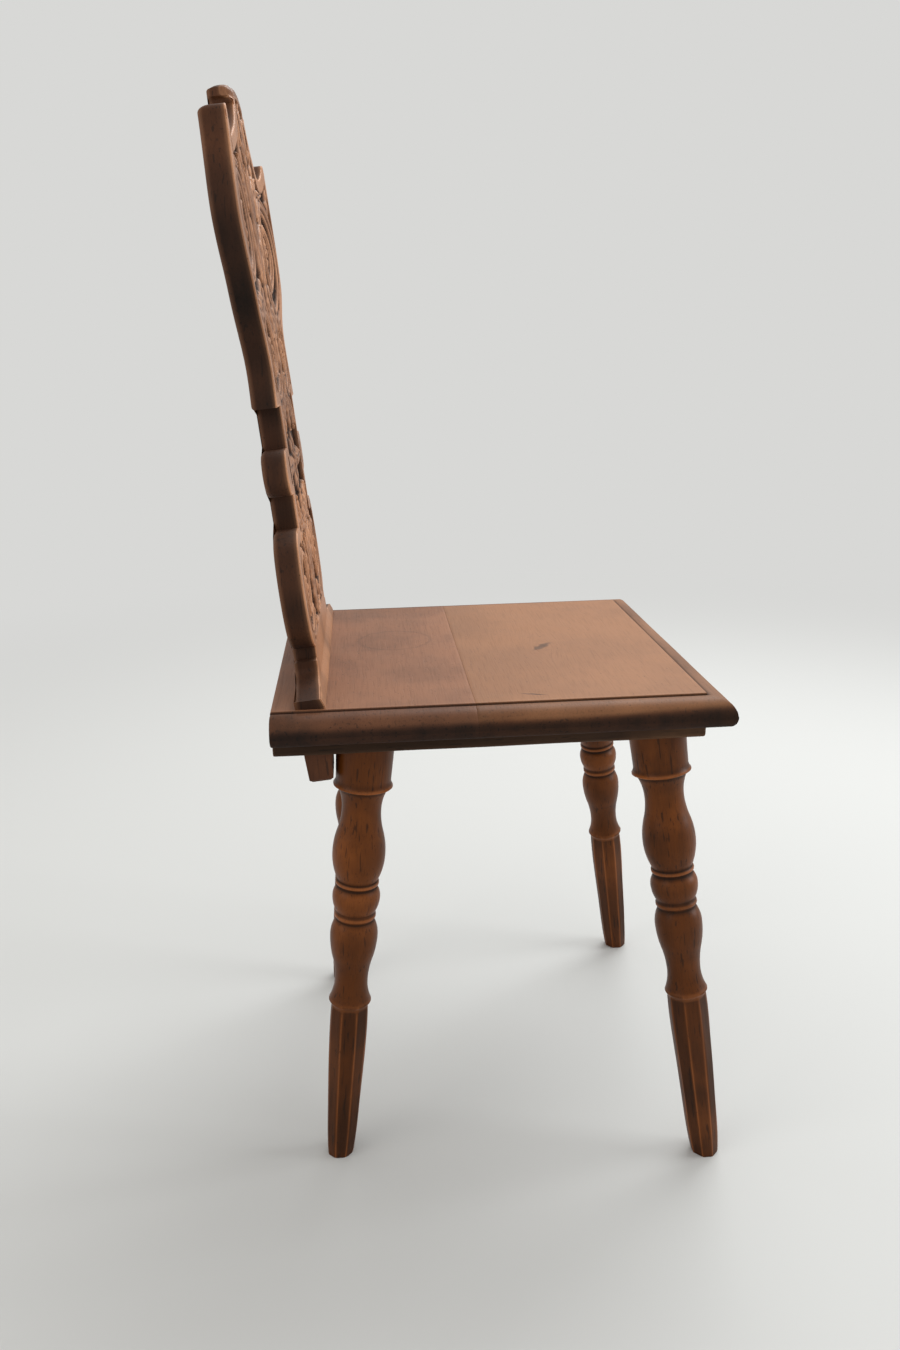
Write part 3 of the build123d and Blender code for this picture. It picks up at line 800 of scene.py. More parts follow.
# each leaf's root, tip, bow, half width and number of lobes
leaf_places = [
    # the palmette in the lower lobe
    (0 + 38j, 0 + 128j, straight, 15.0, 5),
    (6 + 39j, 40 + 124j, 11.0, 12.0, 5),
    (4 + 38j, 50 + 46j, -7.0, 8.5, 3),
    (47 + 80j, 50 + 124j, -3.0, 6.0, 4),
    (46 + 128j, 84 + 118j, 4.0, 7.0, 3),
    (116 + 46j, 136 + 82j, -6.0, 7.0, 3),
    # the waist round the rosette
    (0 + 126j, 0 + 158j, straight, 10.0, 3),
    (6 + 128j, 58 + 160j, -9.0, 11.0, 5),
    (48 + 128j, 84 + 162j, -6.0, 9.0, 4),
    (28 + 184j, 84 + 184j, straight, 11.0, 5),
    (0 + 242j, 0 + 210j, straight, 10.0, 3),
    (6 + 242j, 58 + 208j, 9.0, 11.0, 5),
    (46 + 238j, 84 + 206j, 5.0, 8.0, 4),
    # the stem and leaves of the upper lobe
    (0 + 240j, 0 + 304j, straight, 12.0, 4),
    (2 + 238j, 30 + 262j, -4.0, 7.0, 3),
    (76 + 244j, 106 + 262j, -4.0, 8.0, 3),
    (5 + 296j, 54 + 334j, -9.0, 12.0, 5),
    (0 + 296j, 0 + 346j, straight, 11.0, 4),
    (56 + 322j, 104 + 298j, 8.0, 11.0, 4),
    (92 + 304j, 132 + 326j, -6.0, 7.5, 3),
    (138 + 406j, 147 + 440j, -5.0, 8.5, 3),
    (84 + 424j, 132 + 430j, -3.0, 6.0, 4),
    # the palmette under the crest
    (0 + 336j, 0 + 442j, straight, 17.0, 6),
    (8 + 342j, 36 + 432j, 13.0, 11.6, 5),
    (20 + 338j, 57 + 394j, 6.0, 10.0, 4),
    (42 + 394j, 76 + 434j, 7.0, 11.0, 4),
    (0 + 434j, 0 + 484j, straight, 14.0, 4),
    (40 + 420j, 46 + 464j, -5.0, 8.0, 3),
]
# each scroll's centre, outer end, turns, hand, shrink and half width
scroll_places = [
    (92 + 83j, 54 + 54j, 1.5, 1, 0.50, 8.0),
    (62 + 284j, 26 + 257j, 1.45, 1, 0.50, 7.5),
    (104 + 372j, 49 + 331j, 1.6, 1, 0.50, 11.0),
]
# each rosette's centre, radius and petals
rosette_places = [
    (0 + 184j, 30.0, 8),
    (92 + 83j, 12.5, 6),
    (62 + 284j, 11.5, 6),
    (104 + 372j, 16.0, 8),
]


def carved_height(x, y):
    """The height over the ground of everything carved, on both halves alike."""
    z = np.abs(x) + 1j * y
    motifs = [leaf(z, *place) for place in leaf_places]
    motifs += [scroll(z, *place) for place in scroll_places]
    motifs += [rosette(z, *place) for place in rosette_places]
    slot_rim = stadium_distance(z, slot_place, slot_size) / rim_width
    motifs.append(carving_depth * dome(np.clip(slot_rim, 0, 1)))
    return np.max(motifs, axis=0)


print("motifs on each half:", len(leaf_places) + len(scroll_places) + len(rosette_places))

# %% [markdown]
# ## The rim and the sunk ground
#
# A carver first marks a rim inside the outline, and then takes the ground down between
# the motifs. So each point needs its distance from the outline, which is the shortest
# distance to any of its straight pieces. Points that lie near the rim's inner edge are
# pushed onto it, which keeps that edge crisp. The ground is never quite level, because
# it was cut by hand.

# %% The nearest place on an outline
field_outline = np.vstack(
    [
        [(0.0, ledge_top), (lower_lobe[0, 0], ledge_top)],
        lower_lobe,
        [(lower_neck, lower_lobe[-1, 1]), (lower_neck, waist_bead[0, 1])],
        [(upper_neck, waist_bead[0, 1]), (upper_neck, upper_lobe[0, 1])],
        upper_lobe,
        top_outline,
    ]
)


def nearest_on(outline, z, chunk=4096):
    """The nearest point of an outline of the right half to each point there.

    Each point is dropped at a right angle onto every straight piece of the outline,
    without leaving that piece, and the shortest drop wins.
    """
    line = outline[:, 0] + 1j * outline[:, 1]
    line = line[np.append(True, np.abs(np.diff(line)) > tiny)]
    begin, step = line[:-1], np.diff(line)
    flat = z.ravel()
    found = np.empty_like(flat)
    for low in range(0, len(flat), chunk):
        part = flat[low : low + chunk, None]
        share = ((part - begin) * np.conj(step)).real / np.abs(step) ** 2
        foot = begin + np.clip(share, 0, 1) * step
        found[low : low + chunk] = foot[np.arange(len(part)), np.abs(part - foot).argmin(axis=1)]
    return found.reshape(z.shape)


print("straight pieces round the carved field:", len(field_outline) - 1)

# %% How far each grid point lies from the outline
wall_width = 1.3
eye_reach = 19.0

face = np.abs(across) + 1j * upwards
nearest = nearest_on(field_outline, face)
in_bead = (np.abs(across) > upper_neck) & (np.abs(upwards - eye_place.imag) < eye_reach)
distance = np.abs(face - nearest) * (upwards > ledge_top) * ~in_bead
off_middle = np.abs(across) > spacing
for level in (border_width, border_width + wall_width):
    close = (np.abs(distance - level) < spacing / 2) & off_middle
    moved = nearest + (face - nearest) * level / np.where(distance > 0, distance, 1)
    face = np.where(close, moved, face)
    distance = np.where(close, level, distance)
across = np.where(across < 0, -face.real, face.real)
upwards = face.imag
print("points on the plain rim:", int((distance <= border_width).sum()))

# %% The sunk ground, and what stands on it
ground_wave = 0.18
highest_relief = 0.1


def hand_unevenness(x, y):
    """Slow and slight waves, as a hand tool leaves: sines of slanted places, added up."""
    waves = np.sin(x / 17 + y / 29) + np.sin(x / 9 - y / 13 + 1) + np.sin(y / 7.3 + 2)
    return waves / 3


sunk = np.clip((distance - border_width) / wall_width, 0, 1)
relief = carved_height(across, upwards) - carving_depth
relief = (relief + ground_wave * hand_unevenness(across, upwards)) * sunk
height = np.minimum(relief, highest_relief)
print("sunk share of the face:", round(float(sunk.mean()), 2))

# %% [markdown]
# ## From heights to a board
#
# The front is now a grid of places and heights. The board is closed by rings round its
# edge, with a small radius in front and a larger one behind, and by a coarse sheet for
# the rear face. Old boards are never flat: this one has cupped, and its upper part has
# twisted. Since every point goes through one function from the board to the room, the
# whole board bends together, carving and all.

# %% The board's bend, and its place in the room
cupping = 2.6
middle_sunk = 3.2
ear_forward = (0.2, 3.0)
curl_start = 258.0
curl_span = 100.0
curl_shares = (0.6, 0.9)


def smooth_step(share):
    """A share kept between 0 and 1, with both ends eased into an S."""
    share = np.clip(share, 0, 1)
    return share * share * (3 - 2 * share)


def thickness_at(y):
    """Front face over the rear face: the board thickens in a straight taper to its foot."""
    taper = np.clip(1 - y / foot_flare_height, 0, 1)
    return board_thickness + (foot_thickness - board_thickness) * taper


def board_to_world(x, y, n):
    """Across, up the board and forward of its rear face, as a place in the room.

    The board has cupped and twisted with age. Its sides lie a little further back, and
    in the upper part the middle has sunk back and the far ear has come forward.
    """
    side = x / panel_half_width
    bent = n - cupping * side**2 * np.sqrt(np.clip(y / panel_height, 0, 1))
    high = smooth_step((y - curl_start) / curl_span)
    out = smooth_step((abs(side) - curl_shares[0]) / (curl_shares[1] - curl_shares[0]))
    forward_of_middle = middle_sunk + np.where(x < 0, *ear_forward)
    bent = bent + high * (forward_of_middle * out - middle_sunk)
    seated = np.where(y > 0, y, -bent * np.tan(back_lean))
    points = np.stack([x, seated, bent], axis=-1)
    return back_origin + points @ np.array([[1, 0, 0], back_up, back_forward])


print("the crest's middle:", board_to_world(0.0, panel_height, 0.0).round(1), "mm")

# %% Faces and loops of a grid


def loop_numbers(rows, columns):
    """The numbers of a grid's rim points in one closed loop, right side first."""
    numbers = np.arange(rows * columns).reshape(rows, columns)
    return np.concatenate(
        [numbers[:-1, -1], numbers[-1, ::-1][:-1], numbers[::-1, 0][:-1], numbers[0, :-1]]
    )


def grid_faces(rows, columns):
    """Four corners for every cell of a grid whose points are numbered row by row."""
    first = (np.arange(rows - 1)[:, None] * columns + np.arange(columns - 1)).ravel()
    return np.stack([first, first + 1, first + columns + 1, first + columns], axis=1)


def ring_faces(first_loop, second_loop):
    """Cells between two closed loops of point numbers."""
    return np.stack(
        [first_loop, second_loop, np.roll(second_loop, -1), np.roll(first_loop, -1)], axis=1
    )


def tube_faces(numbers):
    """Cells between the rows of a grid of closed loops, with both ends filled."""
    walls = [ring_faces(*pair) for pair in zip(numbers, numbers[1:])]
    return [np.vstack(walls), numbers[:1], numbers[-1:, ::-1]]


def inward(loop):
    """Unit directions from a closed, left-turning loop to its inside.

    Each is the mean of the two neighbouring pieces' left-hand normals.
    """
    pieces = np.roll(loop, -1) - loop
    normals = 1j * pieces / np.maximum(np.abs(pieces), tiny)
    mean = normals + np.roll(normals, 1)
    return mean / np.maximum(np.abs(mean), 0.5)


print("a grid of 2 by 3 points has the faces", grid_faces(2, 3).tolist())

# %% Rounded edges, and loops moved in from the outline
inset_tries = 4
near_enough = 1e-3
board_outline = np.vstack([[(0.0, -foot_height)], side_outline, top_outline])


def crest_share(y):
    """0 below the notch under the crest, and 1 on the crest."""
    return smooth_step((y - cap_notch[0, 1]) / (cap_end[1] - cap_notch[0, 1]) * 2)


def rounding_drop(radius, inset, reach=None):
    """How far a rounded edge has fallen at an inset from it.

    The rounding is a quarter of an ellipse, as wide as its radius and as deep as its
    reach, or of a circle where no reach is given.
    """
    left = np.clip(1 - inset / radius, 0, 1)
    return (radius if reach is None else reach) * (1 - np.sqrt(1 - left**2))


def inset_loop(rim, inside, inset):
    """The loop moved in by an inset, and nowhere nearer to the outline than that.

    Near a corner the first step lands too near to the next side, so each point is pushed
    straight away from the nearest point of the outline a few times.
    """
    moved = rim + inside * inset
    for _ in range(inset_tries):
        right = np.abs(moved.real) + 1j * moved.imag
        foot = nearest_on(board_outline, right)
        gap = np.abs(right - foot)
        pushed = foot + (right - foot) * inset / np.maximum(gap, tiny)
        too_near = (gap < inset - near_enough) & (gap > near_enough)
        right = np.where(too_near, pushed, right)
        moved = np.where(moved.real < 0, -right.real, right.real) + 1j * right.imag
    return moved


print("outline all round the right half:", len(board_outline), "points")

# %% The rings round the board's edge
front_radius = 1.0
rear_radius = 4.0
top_rear_radius = 6.5
crest_radius = 7.0
top_round_reach = 9.5
shelf_height = 238.0
front_insets = (1.0, 0.5, 0.13, 0.0)
edge_shares = (0.04, 0.2, 0.4, 0.6, 0.8, 0.95)
rear_steps = 6
# Where the painted shade on the sawn edge is darkest, and where it lightens towards the ears.
darkest_height, dark_reach_up = 322, 52
light_start, light_span = 388, 45


def edge_shade_and_dirt(y, x):
    """Dirt and painted shade on the sawn edge: darkest in the middle of the upper lobe, least at the
    ears.
    """
    dirt = 0.58 + 0.42 * bell(y - darkest_height, dark_reach_up)
    dirt = dirt - 0.34 * smooth_step((y - light_start) / light_span)
    dirt = dirt + 0.16 * np.sin(y / 9 + x / 40) * np.sin(y / 23 + 1)
    return dirt * (1 - 0.6 * crest_share(y))


def edge_rings(rim):
    """Each ring's place on the board, its height over the rear face, its wear, and its dirt
    with painted shade.

    The front rings follow the small front rounding, the next ones cross the sawn edge,
    and the last ones follow the rear rounding, which a quarter turn describes.
    """
    inside = inward(rim)
    off_seat = np.where(rim.imag < foot_height + corner_gap, 0.0, 1.0)
    on_crest = crest_share(rim.imag)
    on_top = np.clip(-inside.imag, 0, 1) ** 4 * (rim.imag > shelf_height)
    front_round = front_radius + (crest_radius - front_radius) * on_crest
    front_reach = front_radius + (top_round_reach - front_radius) * on_crest
    rear_round = rear_radius + (top_rear_radius - rear_radius) * on_top
    rear_reach = rear_radius + (top_round_reach - rear_radius) * on_top
    front = thickness_at(rim.imag)
    dirt = edge_shade_and_dirt(rim.imag, rim.real)
    clean = np.zeros(len(rim))
    rings = []
    for inset in front_insets:
        edge = inset_loop(rim, inside, inset * off_seat)
        forward = front - rounding_drop(front_round, inset, front_reach)
        rings.append((edge, forward, 0.95 - 0.6 * on_crest, clean))
    for share in edge_shares:
        forward = (front - front_reach) * (1 - share) + rear_reach * share
        # The sawn edge is painted dark, as shade with some dirt, a little lighter next to the front
        # arris.
        darkness = 1.15 * min(1, share / edge_shares[1] + 0.55)
        rings.append((rim, forward, clean + 0.6 * (1 - share) ** 9, darkness * dirt))
    for turn in np.linspace(0, right_angle, rear_steps + 1):
        edge = inset_loop(rim, inside, rear_round * (1 - cos(turn)) * off_seat)
        forward = rear_reach * (1 - sin(turn))
        rings.append((edge, forward, clean + 0.22 * sin(2 * turn), 0.8 * cos(turn) * dirt))
    return rings


print("rings:", len(front_insets) + len(edge_shares) + rear_steps + 1)

# %% Wear, a painted highlight and dirt on the carved face
blur_reach = 3


def blurred(values, reach):
    """The mean of each value's neighbours in a square window of the grid."""
    for axis in (0, 1):
        shifted = [np.roll(values, step, axis) for step in range(-reach, reach + 1)]
        values = np.mean(shifted, axis=0)
    return values


def face_tones(edge_gap):
    """The wear, partly a painted highlight, and the dirt of the carved face.

    Wear, partly a painted highlight, is high where the face stands above the mean of its
    neighbours, on the rim's inner edge and at the outline. Dirt is high below that mean, and
    on the ground.
    """
    on_crest = crest_share(upwards)
    above_mean = height - blurred(height, blur_reach)
    # The relief's tops and the plain rim are painted lighter, as wear and as a painted highlight.
    wear = 0.28 + 0.62 * np.clip(above_mean / 1.1, 0, 1)
    wear = np.where(sunk > 0, wear, 0.6 * (1 - 0.6 * on_crest))
    wear = np.maximum(wear, 0.95 * bell(edge_gap, 2.2) * (1 - 0.5 * on_crest))
    wear = np.maximum(wear, 0.6 * bell(distance - border_width, 1.2))
    ground = smooth_step((-height / carving_depth - 0.3) / 0.45)
    dirt = np.clip(np.clip(-above_mean / 0.9, 0, 1) + 0.75 * ground, 0, 1)
    return wear * (1 - dirt), dirt


print("deepest ground:", round(float(height.min()), 2), "mm")

# %% The rear face
rear_skip = 6


def rear_sheet(flat_x, flat_y, rim_numbers, start):
    """The rear face: a coarse grid, and a band of cells that joins it to the rear rim.

    Every sixth row and column of the front grid is kept. Each cell of the band runs along
    one side of the coarse grid and back along all the rim points beside it.
    """
    rows, columns = across.shape
    row_picks = np.arange(rear_skip, rows - rear_skip // 2, rear_skip)
    column_picks = np.arange(rear_skip, columns - rear_skip // 2, rear_skip)
    picks = np.ix_(row_picks, column_picks)
    x, y = flat_x.reshape(rows, columns)[picks], flat_y.reshape(rows, columns)[picks]
    points = board_to_world(x.ravel(), y.ravel(), np.zeros(x.size))
    last_row, last_column = rows - 1, columns - 1
    rim_beside = np.concatenate(
        [
            row_picks[:-1],
            last_row + last_column - column_picks[:0:-1],
            2 * last_row + last_column - row_picks[:0:-1],
            2 * last_row + last_column + column_picks[:-1],
        ]
    )
    border = start + loop_numbers(*x.shape)
    after = np.roll(rim_beside, -1)
    cells = []
    for first, second, low, high in zip(border, np.roll(border, -1), rim_beside, after):
        reached = high if high > low else high + len(rim_numbers)
        beside = rim_numbers[np.arange(low, reached + 1) % len(rim_numbers)]
        cells.append(np.concatenate([[first, second], beside[::-1]])[None])
    return points, [start + grid_faces(*x.shape)[:, ::-1], *cells]


print("rear columns:", len(range(rear_skip, across.shape[1] - rear_skip // 2, rear_skip)))

# %% The closed board
squeezed_width = 4.0


def squeezed_face(foot, edge_gap):
    """The face's places, moved in near the outline to leave room for the front rounding.

    A gap from 0 to the squeezed width becomes a gap from the first inset to that width.
    """
    near_edge = (edge_gap > tiny) & (edge_gap < squeezed_width)
    near_edge = near_edge & (upwards > foot_height + corner_gap)
    first_inset = front_insets[0]
    wanted_gap = first_inset + edge_gap * (1 - first_inset / squeezed_width)
    share = np.where(near_edge, wanted_gap / np.maximum(edge_gap, tiny), 1)
    moved = foot + (face - foot) * share
    return np.where(across < 0, -moved.real, moved.real).ravel(), moved.imag.ravel()


def board_mesh():
    """The carved front grid, the edge rings and the rear face as one closed mesh.

    With each point come its wear, partly a painted highlight, its dirt, with painted shade on
    the sawn edge, and its place in the grain, which is here its place in the room. The face's
    own border is the first ring.
    """
    rows, columns = across.shape
    loop = loop_numbers(rows, columns)
    foot = nearest_on(board_outline, face)
    edge_gap = np.abs(face - foot)
    flat_x, flat_y = squeezed_face(foot, edge_gap)
    drop = rounding_drop(crest_radius, edge_gap, top_round_reach) * crest_share(upwards)
    forward = thickness_at(flat_y) + (height - drop).ravel()
    wear, dirt = (tone.ravel() for tone in face_tones(edge_gap))

    (edge, edge_forward, _, _), *rings = edge_rings((across + 1j * upwards).ravel()[loop])
    flat_x[loop], flat_y[loop] = edge.real, edge.imag
    forward[loop] = edge_forward
    layers = [board_to_world(flat_x, flat_y, forward)]
    layers += [board_to_world(edge.real, edge.imag, ahead) for edge, ahead, _, _ in rings]
    outer = rows * columns + np.arange(len(rings) * len(loop)).reshape(len(rings), -1)
    loops = [loop, *outer]
    strips = [ring_faces(*pair) for pair in zip(loops, loops[1:])]
    quads = np.vstack([grid_faces(rows, columns), *strips])
    rear_points, rear_faces = rear_sheet(flat_x, flat_y, loops[-1], outer[-1, -1] + 1)
    clean = np.zeros(len(rear_points))
    wear = np.concatenate([wear, *(ring[2] for ring in rings), clean])
    dirt = np.concatenate([dirt, *(ring[3] for ring in rings), clean])
    points = np.vstack([*layers, rear_points])
    return points, [quads, *rear_faces], wear, dirt, points


board_surface = board_mesh()
print("board:", len(board_surface[0]), "points")

# %% [markdown]
# ## Meshes, copies and cuts
#
# Every surface here is an array of points and a few arrays of faces, and one function
# turns such arrays into a Blender mesh. A joiner cuts slots and housings after the piece
# is shaped, and so do the Booleans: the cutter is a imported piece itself, so the housing
# fits what goes into it. The points of a cut surface keep the values that the finish
# reads from them.

# %% Meshes from arrays


def new_object(name, points, face_groups, material):
    """A closed mesh from points in millimetres and groups of faces with equal corners."""
    mesh = bpy.data.meshes.new(name)
    corners = np.concatenate([group.ravel() for group in face_groups])
    totals = np.concatenate([np.full(len(group), group.shape[1]) for group in face_groups])
    mesh.vertices.add(len(points))
    mesh.vertices.foreach_set("co", (points * mm).ravel())
    mesh.loops.add(len(corners))
    mesh.loops.foreach_set("vertex_index", corners)
    mesh.polygons.add(len(totals))
    mesh.polygons.foreach_set("loop_start", np.cumsum(totals) - totals)
    mesh.update(calc_edges=True)
    shape = bmesh.new()
    shape.from_mesh(mesh)
    bmesh.ops.triangulate(shape, faces=[face for face in shape.faces if len(face.verts) > 4])
    shape.to_mesh(mesh)
    shape.free()
    mesh.materials.append(material)
    made = bpy.data.objects.new(name, mesh)
    bpy.context.scene.collection.objects.link(made)
    return made


def carry(piece, name, values):
    """Stores one number, or one place, for each point of a piece's mesh."""
    kind, key = ("FLOAT", "value") if values.ndim == 1 else ("FLOAT_VECTOR", "vector")
    attribute = piece.data.attributes.new(name, kind, "POINT")
    attribute.data.foreach_set(key, values.astype(np.float32).ravel())


def new_piece(name, surface, material, replaced):
    """A piece of the chair from its points, faces, wear, dirt and places in the grain.

    On some pieces the wear and the dirt also hold painted light.
    """
    points, face_groups, wear, dirt, grain = surface
    piece = new_object(name, points, face_groups, material)
    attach(piece, "root")
    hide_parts(*replaced)
    carry(piece, "grain", grain * mm)
    carry(piece, "wear", wear)
    # The dirt values carry painted shade as well as dirt.
    carry(piece, "dirt_and_shade", dirt)
    triangles = len(piece.data.loops) - 2 * len(piece.data.polygons)
    print(name, len(piece.data.vertices), "points,", triangles, "triangles")
    return piece


print("each piece carries its grain, its wear and its hollows")

# %% Copies, cuts and creases
merge_distance = 0.001


def smooth_to(piece, angle):
    """Smooth shading, with creases kept where two faces meet at more than an angle."""
    piece.data.shade_smooth()
    piece.data.set_sharp_from_angle(angle=radians(angle))


def merged_copy(node_name, below=None, overrun=0):
    """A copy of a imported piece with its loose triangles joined.

    It can be cut off above a height, and its rear end can run on, so that a copy that
    cuts a slot doesn't end level with the face it cuts through.
    """
    copy = bpy.data.objects.new(node_name + "_copy", nodes[node_name].data.copy())
    bpy.context.scene.collection.objects.link(copy)
    shape = bmesh.new()
    shape.from_mesh(copy.data)
    bmesh.ops.remove_doubles(shape, verts=shape.verts, dist=merge_distance * mm)
    if below is not None:
        everything = shape.verts[:] + shape.edges[:] + shape.faces[:]
        bmesh.ops.bisect_plane(
            shape, geom=everything, plane_co=(0, 0, below * mm), plane_no=(0, 0, 1), clear_outer=True
        )
        bmesh.ops.holes_fill(shape, edges=[edge for edge in shape.edges if edge.is_boundary])
    shape.to_mesh(copy.data)
    shape.free()
    if overrun:
        points = np.empty(3 * len(copy.data.vertices))
        copy.data.vertices.foreach_get("co", points)
        rear_end = points[1::3].max()
        points[1::3] += np.where(points[1::3] > rear_end - mm, overrun * mm, 0)
        copy.data.vertices.foreach_set("co", points)
    return copy


def cut_away(piece, cutter):
    """Takes the cutter's space out of a piece with a Boolean, and keeps the result."""
    boolean = piece.modifiers.new("cut", "BOOLEAN")
    boolean.operation = "DIFFERENCE"
    boolean.solver = "EXACT"
    boolean.object = cutter
    bpy.context.view_layer.update()
    evaluated = piece.evaluated_get(bpy.context.evaluated_depsgraph_get())
    cut = bpy.data.meshes.new_from_object(evaluated)
    piece.modifiers.clear()
    while len(cut.materials) > 1:
        cut.materials.pop()
    cut.polygons.foreach_set("material_index", np.zeros(len(cut.polygons), int))
    piece.data = cut
    bpy.data.objects.remove(cutter)


print("pieces that can be copied:", sorted(nodes))

# %% The carved back's slots
round_steps = 12


def stadium_prisms(places, size):
    """Prisms with round ends through the board, at places given as complex numbers."""
    turn = np.linspace(0, pi, round_steps)
    half_straight = (size[1] - size[0]) / 2
    round_end = size[0] / 2 * np.exp(1j * turn) + 1j * half_straight
    section = np.concatenate([round_end, -round_end])
    count = len(section)
    points, walls = [], []
    for number, centre in enumerate(places):
        rim = centre + section
        for forward in (-board_thickness, 2 * board_thickness):
            points.append(board_to_world(rim.real, rim.imag, np.full(count, forward)))
        near = 2 * count * number + np.arange(count)
        walls.append(ring_faces(near + count, near))
    numbers = np.arange(2 * count * len(places)).reshape(len(places), 2, count)
    return np.vstack(points), [np.vstack(walls), numbers[:, 1], numbers[:, 0, ::-1]]


print("slot sizes:", eye_size, slot_size, "mm")

# %% [markdown]
# ## The carved back
#
# The back is one sawn and carved plank, and its crest and its two waist beads are pierced
# with slots that have round ends. Its stain is dark in the ground and worn pale on the
# motifs, whose tops also get a painted highlight. The tenons that go down through the seat
# have flat faces only, so they are a copy of the imported board, cut off at the seat's top.

# %% The carved back
back_crease = 50
back_tones = [
    colour(124, 74, 42),
    colour(88, 49, 25),
    colour(50, 27, 13),
    colour(204, 146, 106),
    colour(18, 10, 5),
]
back_wood = waxed_wood("back_wood", back_tones)
carved_back = new_piece("carved_back", board_surface, back_wood, ["back_board"])
for slot_middle, size in ((eye_place, eye_size), (slot_place, slot_size)):
    prisms = stadium_prisms([slot_middle, -slot_middle.conjugate()], size)
    cut_away(carved_back, new_object("cutter", *prisms, back_wood))
smooth_to(carved_back, back_crease)

# %% The tenons under it
back_tenons = merged_copy("back_board", below=seat_top)
back_tenons.name = "back_tenons"
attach(back_tenons, "root")
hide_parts("back_board")
print("tenons:", len(back_tenons.data.polygons), "faces")

# %% [markdown]
# ## The turned legs
#
# Each leg was turned on a lathe from the shoulder down to the lower lip, and its shaft was
# planed to eight sides. On the real leg both meet at the lip, so below it the surface is,
# at every height and angle, the larger of the two radii. The turned radius is a string of
# straight lines and arcs. An arc that starts upright has its centre level with its start,
# which fixes it by its two ends alone. The first and last rings slide along the leg until
# they lie in the batten's underside and in the floor.

# %% The turned profile
batten_underside = 412.0
tenon_top = 435.0
tenon_radius = 13.0
arc_steps = 12
groove_radius = 17.6
lower_lip_height = -249.5
shoulder = 24.1 - 34j
throat = 17.2 - 63j
vase = 23.4 - 104j
bead = 21.2 - 146j
pear = 21.3 - 184j
ankle = 15 - 230j


def arc_from_upright(start, end):
    """The arc that leaves its start upright and ends at its end, as complex places."""
    gap = end - start
    if abs(gap.real) < tiny:
        return np.linspace(start, end, 2)
    radius = abs(gap) ** 2 / (2 * gap.real)
    centre = start + radius
    sweep = np.angle((end - centre) / (start - centre))
    return centre + (start - centre) * np.exp(1j * sweep * np.linspace(0, 1, arc_steps))


def ogee(start, end):
    """Two equal arcs in an S, upright at both ends."""
    middle = (start + end) / 2
    return np.concatenate([arc_from_upright(start, middle), arc_from_upright(end, middle)[::-1]])


def ring(top, radius):
    """A small ring with bevelled corners between two grooves."""
    radii = np.array([groove_radius, radius, radius, groove_radius])
    return radii + 1j * (top - np.array([0, 1, 3, 4]))


# Each place is a complex number: the radius, and the height from the batten's underside.
# From the top: shoulder, upper lip, throat and vase, a ring, bead, a ring, pear and
# ankle, the lower lip, and the end inside the shaft.
turned_parts = [
    np.linspace(25.2, shoulder, 8),
    arc_from_upright(shoulder, 26 - 39.5j),
    np.array([26 - 40.3j]),
    arc_from_upright(throat, 22 - 42.5j)[::-1],
    ogee(throat, vase),
    arc_from_upright(vase, groove_radius - 130j),
    ring(-130, 19.2),
    arc_from_upright(bead, groove_radius - 136j)[::-1],
    arc_from_upright(bead, groove_radius - 160j),
    ring(-162, 18.5),
    arc_from_upright(pear, 16.8 - 168j)[::-1],
    ogee(pear, ankle),
    arc_from_upright(ankle, 19.2 + 1j * lower_lip_height),
    np.array([19.2 - 250.3j, 16.5 - 254.5j, 0.1 - 255j]),
]
turned_profile = np.concatenate(turned_parts)
print("points in the turned profile:", len(turned_profile))

# %% The line of a leg, and its radius
leg_columns = 96
leg_step = 1.3
least_step = 0.05
corner_turn = pi / 8
batten_offset = 149.0
shaft_half_widths = (16.3, 11.6)
shaft_swell = 1.7
# How far the leg's top and its foot lie in front of the seat's rear edge, and how far
# the foot lies further out than the top.
leg_ends = {
    "front": (330.0, 379.5, 40.0),
    "rear": (77.0, 36.0, 5.0),
}


def leg_axis(side, end):
    """The top of a leg's axis, its length, and the directions up it, right and back."""
    top_setback, foot_setback, splay = leg_ends[end]
    top = np.array([side * batten_offset, seat_rear - top_setback, batten_underside])
    foot = np.array([side * (batten_offset + splay), seat_rear - foot_setback, 0])
    length = np.linalg.norm(top - foot)
    up = (top - foot) / length
    right = np.array([up[2], 0, -up[0]]) / np.hypot(up[2], up[0])
    return top, length, up, right, np.cross(up, right)


def leg_heights(length):
    """Heights of the rings: close together on the turning, and at each of its corners."""
    drops = -turned_profile.imag[:-1]
    even = np.arange(0, length, leg_step)
    clear = np.abs(even[:, None] - drops).min(axis=1) > 0.45 * leg_step
    heights = np.sort(np.concatenate([even[clear], drops]))
    return -np.append(heights[np.append(True, np.diff(heights) > least_step)], length)


def turned_radius(heights, on_shaft):
    """The turned profile's radius at heights along the leg, and one value on the shaft."""
    rising = turned_profile[::-1]
    return np.interp(heights, rising.imag, rising.real, left=on_shaft)


def facet_places(turn):
    """The number of the facet at each angle round the leg, and the angle from its middle."""
    from_middle = np.mod(turn + corner_turn, 2 * corner_turn) - corner_turn
    return np.round(turn / corner_turn / 2), from_middle


